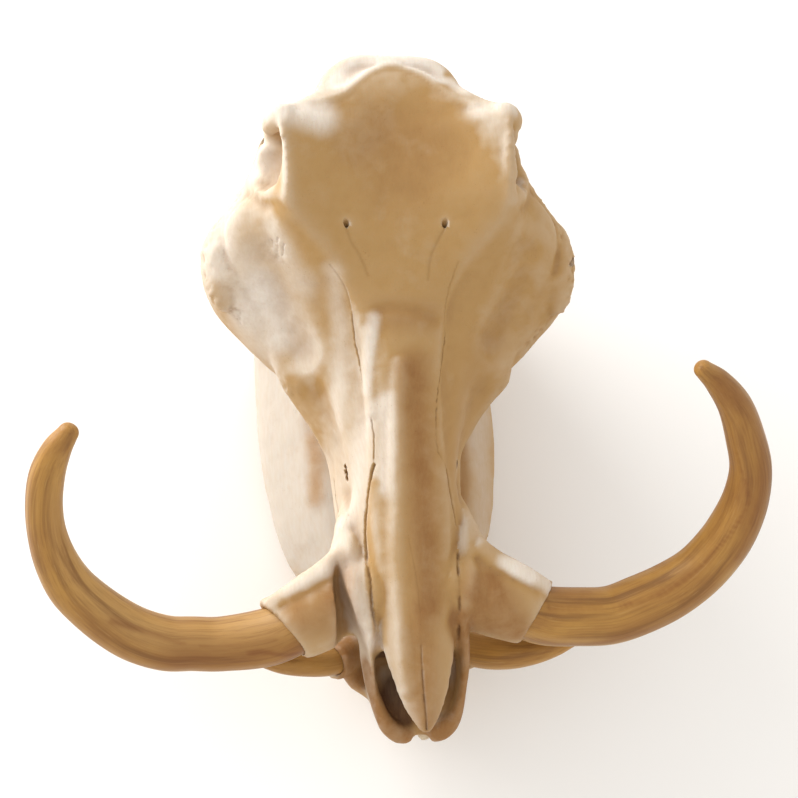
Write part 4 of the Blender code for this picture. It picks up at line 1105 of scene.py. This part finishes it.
def painted(co, strokes):
    """How strongly the soft strokes of paint cover each point, in all."""
    total = np.zeros(len(co))
    for path, radius, amount in strokes:
        length = sum((Vector(b) - Vector(a)).length for a, b in zip(path, path[1:]))
        marks = smooth_path(path, int(length / 2) + 2) if len(path) > 1 else [Vector(path[0])]
        gap = gap_to(co, marks, radius)
        total += amount * ease(1 - gap / radius)
    return np.clip(total, -1, 1)


def note_surface(obj, seam, stains_and_shade, light_and_shade_strokes, dark=()):
    """Stores the bone's hollows, edges and stains, and its painted light and shade, for the material to read.
    """
    mesh = obj.data
    co, normal = read_points(mesh) * 1000, read_points(mesh, "normal")
    soft = [co]
    for rounds in FORM_ROUNDS:
        soft.append(relaxed(mesh, soft[-1], rounds))
    fine, middling, broad = (((one - co) * normal).sum(1) for one in soft[1:])
    # Painted shade: how far each face turns from the light decides how tan it is painted.
    facing = normal @ np.array(PAINTED_LIGHT_FROM)
    for name, values in (
        ("hollow", np.clip(broad / HOLLOW_SHADE_DEPTH, 0, 1)),
        ("edge", np.clip(-middling / EDGE_HEIGHT, 0, 1)),
        ("crease_shade", np.clip(fine / CREASE_SHADE_DEPTH, 0, 1)),
        ("seam", seam),
        ("painted_side_shade", 1 - ease((facing - PAINTED_LIGHT_START) / PAINTED_LIGHT_OVER)),
        ("stain_and_shade", painted(co, stains_and_shade)),
        ("painted_light_and_shade", painted(co, light_and_shade_strokes)),
        ("dark", painted(co, dark)),
    ):
        remember(mesh, name, values)


def settle(obj):
    """Puts the finished mesh at its place in the frame, inside the solid's box, shaded smooth."""
    co = read_points(obj.data) - mm(*MIDDLE, 0)
    low, high = (np.array(corner) for corner in CAD_BOX)
    move_points(obj.data, np.clip(co, low, high))
    for polygon in obj.data.polygons:
        polygon.use_smooth = True


def pierce(holes):
    """Round cutters for the holes, on one side of the head or on both."""
    made = []
    for start, end, radius, sides in holes:
        made += [bar("hole", on_side(start, side), on_side(end, side), radius) for side in sides]
    return made


def cranium():
    """The skull without its lower jaw: bone only, with its seams, holes and sockets."""
    pieces = [face()] + around_the_eye() + back_of_head() + snout() + tusk_sheaths()
    hollows = cranium_hollows() + [ellipsoid("choana", *CHOANA)]
    bone = grow_together("cranium_bone", pieces, hollows)
    lopsided(bone)
    for one in CRANIUM_STROKES:
        stroke(bone, *one)
    keep_largest(bone)
    sockets = [tusk("socket", stations, TOUCHING_GAP) for stations in (TUSK_UPPER_RIGHT, TUSK_UPPER_LEFT)]
    chips = [ellipsoid("chip", *one) for one in CHIPS]
    combine(bone, sockets + pierce(CRANIUM_HOLES) + chips, "DIFFERENCE")
    keep_largest(bone)
    rough = weather(bone, ROUGH_SPOTS)
    remember(bone.data, "rough", rough)
    seam = engrave(bone, CRANIUM_SEAMS)
    note_surface(bone, seam, CRANIUM_STAINS_AND_SHADE, CRANIUM_LIGHT_AND_SHADE, CRANIUM_DEEP_SHADE)
    settle(bone)
    return bone


def mandible():
    """The lower jaw: bone only, with its holes and the sockets of the lower tusks."""
    bone = grow_together("mandible_bone", jaw_pieces(), [])
    for one in JAW_STROKES:
        stroke(bone, *one)
    keep_largest(bone)
    sockets = [tusk("socket", stations, TOUCHING_GAP) for stations in (TUSK_LOWER_LEFT, TUSK_LOWER_RIGHT)]
    combine(bone, sockets + pierce(JAW_HOLES) + [block("ground", *GROUND)], "DIFFERENCE")
    keep_largest(bone)
    rough = weather(bone, ROUGH_SPOTS)
    remember(bone.data, "rough", rough)
    seam = engrave(bone, JAW_SEAMS)
    note_surface(bone, seam, JAW_STAINS_AND_SHADE, JAW_LIGHT_AND_SHADE)
    settle(bone)
    return bone


def add(tree, kind, links=(), values=(), **settings):
    """A node with its settings, values and links, in one call."""
    made = tree.nodes.new(kind)
    for key, value in settings.items():
        setattr(made, key, value)
    for socket, value in values:
        made.inputs[socket].default_value = value
    for socket, source in links:
        tree.links.new(source, made.inputs[socket])
    return made


def tooth_column_tree(enamel):
    """Geometry nodes that stand an enamel column on every point of a tooth's outline."""
    tree = bpy.data.node_groups.new("tooth_columns", "GeometryNodeTree")
    for name, kind, value in (
        ("Outline", "Geometry", None), ("Column radius", "Float", 0.002), ("Column height", "Float", 0.02),
        ("Unevenness", "Float", 0.16), ("Seed", "Int", SEED),
    ):
        socket = tree.interface.new_socket(name, in_out="INPUT", socket_type="NodeSocket" + kind)
        if value is not None:
            socket.default_value = value
    tree.interface.new_socket("Teeth", in_out="OUTPUT", socket_type="NodeSocketGeometry")
    sizes = add(tree, "NodeGroupInput").outputs
    radius, height = sizes["Column radius"], sizes["Column height"]
    top = add(tree, "ShaderNodeMath", [(0, radius)], [(1, 0.8)], operation="MULTIPLY").outputs[0]
    column = add(
        tree, "GeometryNodeMeshCone", [("Radius Top", top), ("Radius Bottom", radius), ("Depth", height)],
        [("Vertices", 12), ("Side Segments", 3)],
    )
    low = add(tree, "ShaderNodeMath", [(1, sizes["Unevenness"])], [(0, 1.0)], operation="SUBTRACT")
    spread = add(tree, "FunctionNodeRandomValue", [(2, low.outputs[0]), ("Seed", sizes["Seed"])], [(3, 1.0)])
    width = add(tree, "ShaderNodeCombineXYZ", [(axis, spread.outputs[1]) for axis in "XY"], [("Z", 1.0)])
    stand = add(
        tree, "GeometryNodeInstanceOnPoints",
        [("Points", sizes["Outline"]), ("Instance", column.outputs["Mesh"]), ("Scale", width.outputs[0])],
    )
    real = add(tree, "GeometryNodeRealizeInstances", [(0, stand.outputs[0])])
    finish = add(tree, "GeometryNodeSetMaterial", [("Geometry", real.outputs[0])], [("Material", enamel)])
    add(tree, "NodeGroupOutput", [(0, finish.outputs[0])])
    return tree


def set_input(modifier, name, value):
    """Sets a named input of a geometry nodes modifier through its socket's identifier."""
    for item in modifier.node_group.interface.items_tree:
        if item.item_type == "SOCKET" and item.in_out == "INPUT" and item.name == name:
            modifier[item.identifier] = value


def tooth_outline(across, along, lobes, count):
    """Points round a tooth, waisted between its lobes."""
    ring = []
    for k in range(count):
        c, s = math.cos(math.tau * k / count), math.sin(math.tau * k / count)
        x = across / 2 * math.copysign(abs(c) ** 0.6, c)
        y = along / 2 * math.copysign(abs(s) ** 0.6, s)
        wave = 0.5 + 0.5 * math.cos(math.tau * lobes * (y / along + 0.5))
        ring.append((x * (1 - LOBE_DEPTH * wave), y))
    return ring


def cheek_tooth(name, centre, across, along, lobes, height, tree):
    """A cheek tooth: a lobed body with enamel columns round it."""
    middle = centre[2] + height / 2
    radius = min(across, along) * 0.15
    bm = bmesh.new()
    for x, y in tooth_outline(across - 2 * radius, along - 2 * radius, lobes, 4 * lobes + 6):
        bm.verts.new(mm(centre[0] + x, centre[1] + y, middle))
    columns = new_object(name, bm)
    stand = columns.modifiers.new("Columns", "NODES")
    stand.node_group = tree
    set_input(stand, "Column radius", float(mm(radius)))
    set_input(stand, "Column height", float(mm(height)))
    set_input(stand, "Seed", SEED + int(abs(centre[1])))
    apply_modifiers(columns)
    columns.data.transform(Matrix.Translation(mm(0, 0, -height / 2)))
    body = tooth_outline(across - 1.2 * radius, along - 1.2 * radius, lobes, 12 * lobes + 12)
    levels = (centre[2] + 0.4, centre[2] + height)
    core = loft(name + "_body", [[(centre[0] + x, centre[1] + y, z) for x, y in body] for z in levels])
    return [columns, core]


def joined(name, objects):
    """One object from several, without joining their surfaces."""
    bm = bmesh.new()
    for obj in objects:
        bm.from_mesh(obj.data)
        bpy.data.objects.remove(obj)
    mesh = bpy.data.meshes.new(name)
    bm.to_mesh(mesh)
    bm.free()
    made = bpy.data.objects.new(name, mesh)
    bpy.context.scene.collection.objects.link(made)
    return made


def teeth(name, upper, pegs, enamel):
    """The cheek teeth of both sides and the front teeth of one jaw."""
    tree = tooth_column_tree(enamel)
    height = UPPER_TOOTH_HEIGHT if upper else LOWER_TOOTH_HEIGHT
    low = BITE_Z + TOUCHING_GAP / 2 if upper else BITE_Z - TOUCHING_GAP / 2 - height
    inset = 0 if upper else LOWER_ROW_INSET
    made = incisors(pegs)
    for k, (y, across, along, lobes) in enumerate(CHEEK_TEETH):
        x = profile(TOOTH_LINE, y) - inset
        for side in BOTH:
            made += cheek_tooth(f"tooth_{k}_{side}", (side * x, y, low), across, along, lobes, height, tree)
    row = joined(name, made)
    settle(row)
    return row


def tusk_skin(name, stations, rings=150, sides=64):
    """A tusk with the long shallow grooves of real ivory. They are all cut inwards."""
    frames = tusk_frames(stations, rings)
    sizes = smooth_path([(s[3], s[4], 0) for s in stations], rings)
    made = []
    for k, (centre, through, across) in enumerate(frames):
        ring = []
        for j in range(sides):
            a = math.tau * j / sides
            c, s = math.cos(a), math.sin(a)
            size = 1 - sum(deep * math.exp(-(((a - place) / half) ** 2)) for deep, place, half in GROOVES)
            for about, along, deep in RIPPLES:
                size -= deep * (1 + noise.noise(Vector((about * c, about * s, k / (rings - 1) * along))))
            ring.append(centre + (through * sizes[k].x * c + across * sizes[k].y * s) * size)
        made.append(ring)
    reach, count, fullness = FINE_TIP
    return loft(name, made + rounded_tip(made[-1], frames, sizes[-1].x * reach, count, fullness))


def note_ivory(obj, stations, stains_and_shade):
    """Stores each point's place as if the tusk were straight, and its stains and painted shadow."""
    mesh = obj.data
    co = read_points(mesh) * 1000
    frames = tusk_frames(stations, 260)
    middle = np.array([tuple(frame[0]) for frame in frames])
    length = np.concatenate(((0,), np.cumsum(np.linalg.norm(np.diff(middle, axis=0), axis=1))))
    best = np.full(len(co), np.inf)
    straight = np.zeros((len(co), 3))
    for k, (centre, through, across) in enumerate(frames):
        away = co - middle[k]
        gap = np.linalg.norm(away, axis=1)
        closer = gap < best
        best[closer] = gap[closer]
        straight[closer, 0] = away[closer] @ np.array(through)
        straight[closer, 1] = away[closer] @ np.array(across)
        straight[closer, 2] = length[k]
    made = mesh.attributes.new("straight", "FLOAT_VECTOR", "POINT")
    made.data.foreach_set("vector", (straight * 0.001).astype(np.float32).ravel())
    remember(mesh, "tip", straight[:, 2] / length[-1])
    stain_and_shade = np.zeros(len(co))
    for path, half, amount in stains_and_shade:
        gap = gap_to(co, smooth_path(path, 60), half * 3)
        stain_and_shade = np.maximum(stain_and_shade, amount * np.exp(-((gap / half) ** 2)))
    remember(mesh, "stain_and_shade", stain_and_shade)


def tusks(side, upper, lower, stains_and_shade):
    """One side's tusks. The lower one is cut back wherever it would touch the upper."""
    big = tusk_skin("tusk_upper_" + side + "_ivory", upper)
    small = tusk_skin("tusk_lower_" + side + "_ivory", lower, 60, 48)
    combine(small, [tusk("wear", upper, TOUCHING_GAP)], "DIFFERENCE")
    keep_largest(small)
    note_ivory(big, upper, stains_and_shade)
    note_ivory(small, lower, [])
    for obj in (big, small):
        settle(obj)
    return big, small


def mix(tree, share, first, second, blend="MIX"):
    """A colour mixed from two; each is a socket or a colour."""
    made = add(tree, "ShaderNodeMix", data_type="RGBA", blend_type=blend)
    for socket, value in ((0, share), (6, first), (7, second)):
        if isinstance(value, bpy.types.NodeSocket):
            tree.links.new(value, made.inputs[socket])
        else:
            made.inputs[socket].default_value = (*value, 1) if socket else value
    return made.outputs[2]


def sums(tree, operation, first, second, clamp=False):
    made = add(tree, "ShaderNodeMath", operation=operation, use_clamp=clamp)
    for socket, value in ((0, first), (1, second)):
        if isinstance(value, bpy.types.NodeSocket):
            tree.links.new(value, made.inputs[socket])
        else:
            made.inputs[socket].default_value = value
    return made.outputs[0]


def times(tree, first, second, clamp=False):
    return sums(tree, "MULTIPLY", first, second, clamp)


def plus(tree, first, second):
    return sums(tree, "ADD", first, second)


def between_values(tree, value, low, high, to_low=0.0, to_high=1.0):
    """value from low..high spread to to_low..to_high, held at the ends."""
    ends = [(1, low), (2, high), (3, to_low), (4, to_high)]
    return add(tree, "ShaderNodeMapRange", [(0, value)], ends).outputs[0]


def grain(tree, where, stretch, scale, detail=3.0, roughness=0.55, distortion=0.0):
    """Noise over where, stretched by the three factors."""
    turned = add(tree, "ShaderNodeMapping", [(0, where)], [(3, stretch)])
    look = [("Scale", scale), ("Detail", detail), ("Roughness", roughness), ("Distortion", distortion)]
    return add(tree, "ShaderNodeTexNoise", [(0, turned.outputs[0])], look).outputs[0]


def stored(tree, name, output="Fac"):
    return add(tree, "ShaderNodeAttribute", attribute_name=name).outputs[output]


def new_material(name):
    made = bpy.data.materials.new(name)
    made.use_nodes = True
    tree = made.node_tree
    return made, tree, tree.nodes["Principled BSDF"]


def covered(tree, colour, coats):
    """The colour under coats of others, each given as (how strongly it covers, its colour)."""
    for share, over in coats:
        colour = mix(tree, share, colour, over)
    return colour


def surface(tree, shader, colour, roughness, height, strength, distance):
    """Joins the colour, the roughness and the fine relief to the shader."""
    bump = add(tree, "ShaderNodeBump", [("Height", height)], [("Strength", strength), ("Distance", distance)])
    for name, source in (("Base Color", colour), ("Roughness", roughness), ("Normal", bump.outputs[0])):
        tree.links.new(source, shader.inputs[name])


def soft_inside(shader, weight, spread, shine):
    """How much light sinks in, how far each colour of it spreads, and how much the surface shines."""
    for name, value in (
        ("Subsurface Weight", weight), ("Subsurface Radius", spread),
        ("Subsurface Scale", 0.004), ("Specular IOR Level", shine),
    ):
        shader.inputs[name].default_value = value


def bone_finish(name, light):
    """Old dry bone: cream on the edges, tan as painted shade on the broad faces turned from the light, brown
    as painted shade in hollows and creases, and brown in seams.
    """
    made, tree, shader = new_material(name)
    where = add(tree, "ShaderNodeTexCoord").outputs["Object"]
    broad = grain(tree, where, (1, 1, 1), 16, 3, 0.5, 0.5)
    cloudy = grain(tree, where, (1, 1, 1), 85, 5, 0.62, 0.3)
    fibre = grain(tree, where, (1, 0.16, 1), 620, 4, 0.6)
    speck = grain(tree, where, (1, 1, 1), 1500, 2, 0.5)
    pores = add(tree, "ShaderNodeTexVoronoi", [(0, where)], [("Scale", 620)]).outputs["Distance"]
    pore = times(tree, between_values(tree, pores, 0.16, 0.05), between_values(tree, cloudy, 0.5, 0.62))
    patchy = plus(tree, times(tree, broad, 0.65), times(tree, cloudy, 0.35))
    # The tone: the bone's own patchy tan, with painted shade on faces turned from the light, and the strokes'
    # painted light and shade
    tone = between_values(tree, patchy, 0.38, 0.64, -0.18, 0.22)
    tone = plus(tree, tone, times(tree, stored(tree, "painted_side_shade"), 1.02))
    tone = sums(tree, "SUBTRACT", tone, stored(tree, "painted_light_and_shade"), True)
    stain_and_shade_share = between_values(tree, cloudy, 0.3, 0.7, 0.65, 1.1)
    hollow_shade_share = between_values(tree, cloudy, 0.3, 0.7, 0.1, 0.35)
    # Over it: painted highlights in pale, cream edges, stains with painted shade, painted shade in hollows,
    # creases and deep in the nostrils, and the dark seams and pores
    coats = [(tone, BONE_TAN)]
    for name, share, over in (
        ("painted_light_and_shade", 0.9, BONE_PALE), ("edge", 0.3, EDGE_CREAM), ("stain_and_shade", stain_and_shade_share, BONE_BROWN),
        ("hollow", hollow_shade_share, SHADE_AND_MARK_BROWN), ("crease_shade", 0.4, SHADE_AND_MARK_BROWN), ("dark", 0.9, NOSTRIL_SHADE), ("seam", 0.8, DIRT),
    ):
        coats.append((times(tree, stored(tree, name), share, True), over))
    coats.append((times(tree, pore, 0.5), SHADE_AND_MARK_BROWN))
    coats.append((between_values(tree, fibre, 0.35, 0.7, 0.0, 0.16), BONE_TAN))
    height = plus(tree, times(tree, fibre, 0.5), times(tree, cloudy, 0.7))
    height = plus(tree, height, times(tree, speck, plus(tree, stored(tree, "rough"), 0.15)))
    height = sums(tree, "SUBTRACT", height, pore)
    roughness = between_values(tree, cloudy, 0.3, 0.7, 0.48, 0.68)
    surface(tree, shader, covered(tree, light, coats), roughness, height, 0.5, 0.0005)
    soft_inside(shader, 0.08, (1.0, 0.5, 0.25), 0.14)
    return made


def ivory_finish(name):
    """Tusk ivory: ochre with brown streaks along it, paler on the inner side, darker at the tip."""
    made, tree, shader = new_material(name)
    straight = stored(tree, "straight", "Vector")
    streak = grain(tree, straight, (1, 1, 0.035), 170, 4, 0.6, 0.25)
    fibre = grain(tree, straight, (1, 1, 0.02), 900, 4, 0.65)
    rings = grain(tree, straight, (0.05, 0.05, 1), 420, 3, 0.6)
    cloudy = grain(tree, straight, (1, 1, 0.4), 45, 4, 0.6, 0.4)
    parts = add(tree, "ShaderNodeSeparateXYZ", [(0, straight)])
    outer = between_values(tree, parts.outputs[1], -0.012, 0.014)
    colour = covered(tree, IVORY_OCHRE, (
        (between_values(tree, cloudy, 0.35, 0.65), IVORY_TAN),
        (times(tree, between_values(tree, outer, 0.45, 0.0), 0.6), IVORY_PALE),
        (times(tree, between_values(tree, streak, 0.5, 0.68), 0.75), IVORY_BROWN),
        (between_values(tree, fibre, 0.5, 0.72, 0.0, 0.45), IVORY_BROWN),
        (between_values(tree, fibre, 0.42, 0.28, 0.0, 0.35), IVORY_PALE),
        (between_values(tree, stored(tree, "tip"), 0.8, 1.0, 0.0, 0.05), IVORY_BROWN),
        # Stains, and painted shadow along the lower edges by the sheaths
        (stored(tree, "stain_and_shade"), IVORY_STAIN_AND_SHADOW),
    ))
    height = plus(tree, times(tree, fibre, 0.8), times(tree, rings, 0.25))
    height = plus(tree, height, times(tree, streak, 0.6))
    roughness = between_values(tree, cloudy, 0.3, 0.7, 0.3, 0.48)
    surface(tree, shader, colour, roughness, height, 0.45, 0.0004)
    soft_inside(shader, 0.06, (1.0, 0.5, 0.2), 0.2)
    return made


def enamel_finish(name):
    """Worn enamel: ivory white with a cloudy brown stain and dark lines down its columns."""
    made, tree, shader = new_material(name)
    where = add(tree, "ShaderNodeTexCoord").outputs["Object"]
    cloudy = grain(tree, where, (1, 1, 0.5), 160, 4, 0.6, 0.3)
    fibre = grain(tree, where, (1, 1, 0.12), 900, 3, 0.6)
    lines = between_values(tree, fibre, 0.5, 0.75, 0.0, 0.3)
    coats = ((between_values(tree, cloudy, 0.35, 0.65), ENAMEL_STAIN), (lines, SHADE_AND_MARK_BROWN))
    roughness = between_values(tree, cloudy, 0.3, 0.7, 0.28, 0.5)
    surface(tree, shader, covered(tree, ENAMEL, coats), roughness, fibre, 0.4, 0.0003)
    return made


def floor_finish():
    made, tree, shader = new_material("pale_floor")
    where = add(tree, "ShaderNodeTexCoord").outputs["Object"]
    cloudy = grain(tree, where, (1, 1, 1), 3, 3, 0.5)
    colour = mix(tree, between_values(tree, cloudy, 0.3, 0.7, 0.0, 1.0), FLOOR, FLOOR_SHADE)
    tree.links.new(colour, shader.inputs["Base Color"])
    shader.inputs["Roughness"].default_value = 0.9
    return made


def camera():
    """Above the snout, looking down on the face, turned so that the head stands upright in the frame."""
    back = Vector(CAMERA_BACK).normalized()
    right = (-back).cross(UP).normalized()
    up = right.cross(-back)
    roll = math.radians(CAMERA_ROLL)
    across = right * math.cos(roll) + up * math.sin(roll)
    upright = up * math.cos(roll) - right * math.sin(roll)
    data = bpy.data.cameras.new("camera")
    data.sensor_width = 36
    data.lens = CAMERA_LENS
    made = bpy.data.objects.new("camera", data)
    made.matrix_world = Matrix.Translation(Vector(CAMERA_TARGET) + back * CAMERA_DISTANCE) @ Matrix(
        (across, upright, back)
    ).transposed().to_4x4()
    bpy.context.scene.collection.objects.link(made)
    bpy.context.scene.camera = made


def soft_light(name, towards, distance, size, power, colour):
    """A square light that shines on the skull from a direction."""
    data = bpy.data.lights.new(name, "AREA")
    data.shape = "SQUARE"
    data.size = size
    data.energy = power
    data.color = colour
    made = bpy.data.objects.new(name, data)
    direction = Vector(towards).normalized()
    made.matrix_world = Matrix.Translation(Vector(LIGHT_TARGET) + direction * distance) @ (
        direction.to_track_quat("Z", "Y").to_matrix().to_4x4()
    )
    bpy.context.scene.collection.objects.link(made)


def studio():
    """A plain pale floor, a large soft light from behind the head's right side, and light all round."""
    bm = bmesh.new()
    bmesh.ops.create_grid(bm, x_segments=1, y_segments=1, size=4)
    floor = new_object("floor", bm)
    floor.data.materials.append(floor_finish())
    for one in LIGHTS:
        soft_light(*one)
    world = bpy.data.worlds.new("room")
    bpy.context.scene.world = world
    world.use_nodes = True
    sky = world.node_tree.nodes["Background"]
    sky.inputs[0].default_value = (*ROOM_COLOUR, 1)
    sky.inputs[1].default_value = ROOM_STRENGTH
    bpy.context.scene.view_settings.view_transform = "Standard"


def stands_for(piece, node, finish):
    """Gives a piece its finish, puts it on the body and shows it in place of its node."""
    piece.data.materials.clear()
    piece.data.materials.append(finish)
    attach(piece, "root")
    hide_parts(node)


def main():
    noise.seed_set(SEED)
    bone = bone_finish("old_bone", BONE_LIGHT)
    jaw = bone_finish("jaw_bone", JAW_LIGHT)
    ivory = ivory_finish("tusk_ivory")
    enamel = enamel_finish("tooth_enamel")
    stands_for(cranium(), "cranium", bone)
    stands_for(teeth("teeth_upper", True, INCISORS_UPPER, enamel), "cranium", enamel)
    stands_for(mandible(), "mandible", jaw)
    stands_for(teeth("teeth_lower", False, INCISORS_LOWER, enamel), "mandible", enamel)
    for side, upper, lower, stains_and_shade in (
        ("left", TUSK_UPPER_LEFT, TUSK_LOWER_LEFT, STAINS_AND_SHADOW_LEFT),
        ("right", TUSK_UPPER_RIGHT, TUSK_LOWER_RIGHT, STAINS_AND_SHADOW_RIGHT),
    ):
        big, small = tusks(side, upper, lower, stains_and_shade)
        stands_for(big, "tusk_upper_" + side, ivory)
        stands_for(small, "tusk_lower_" + side, ivory)
    studio()
    camera()


main()
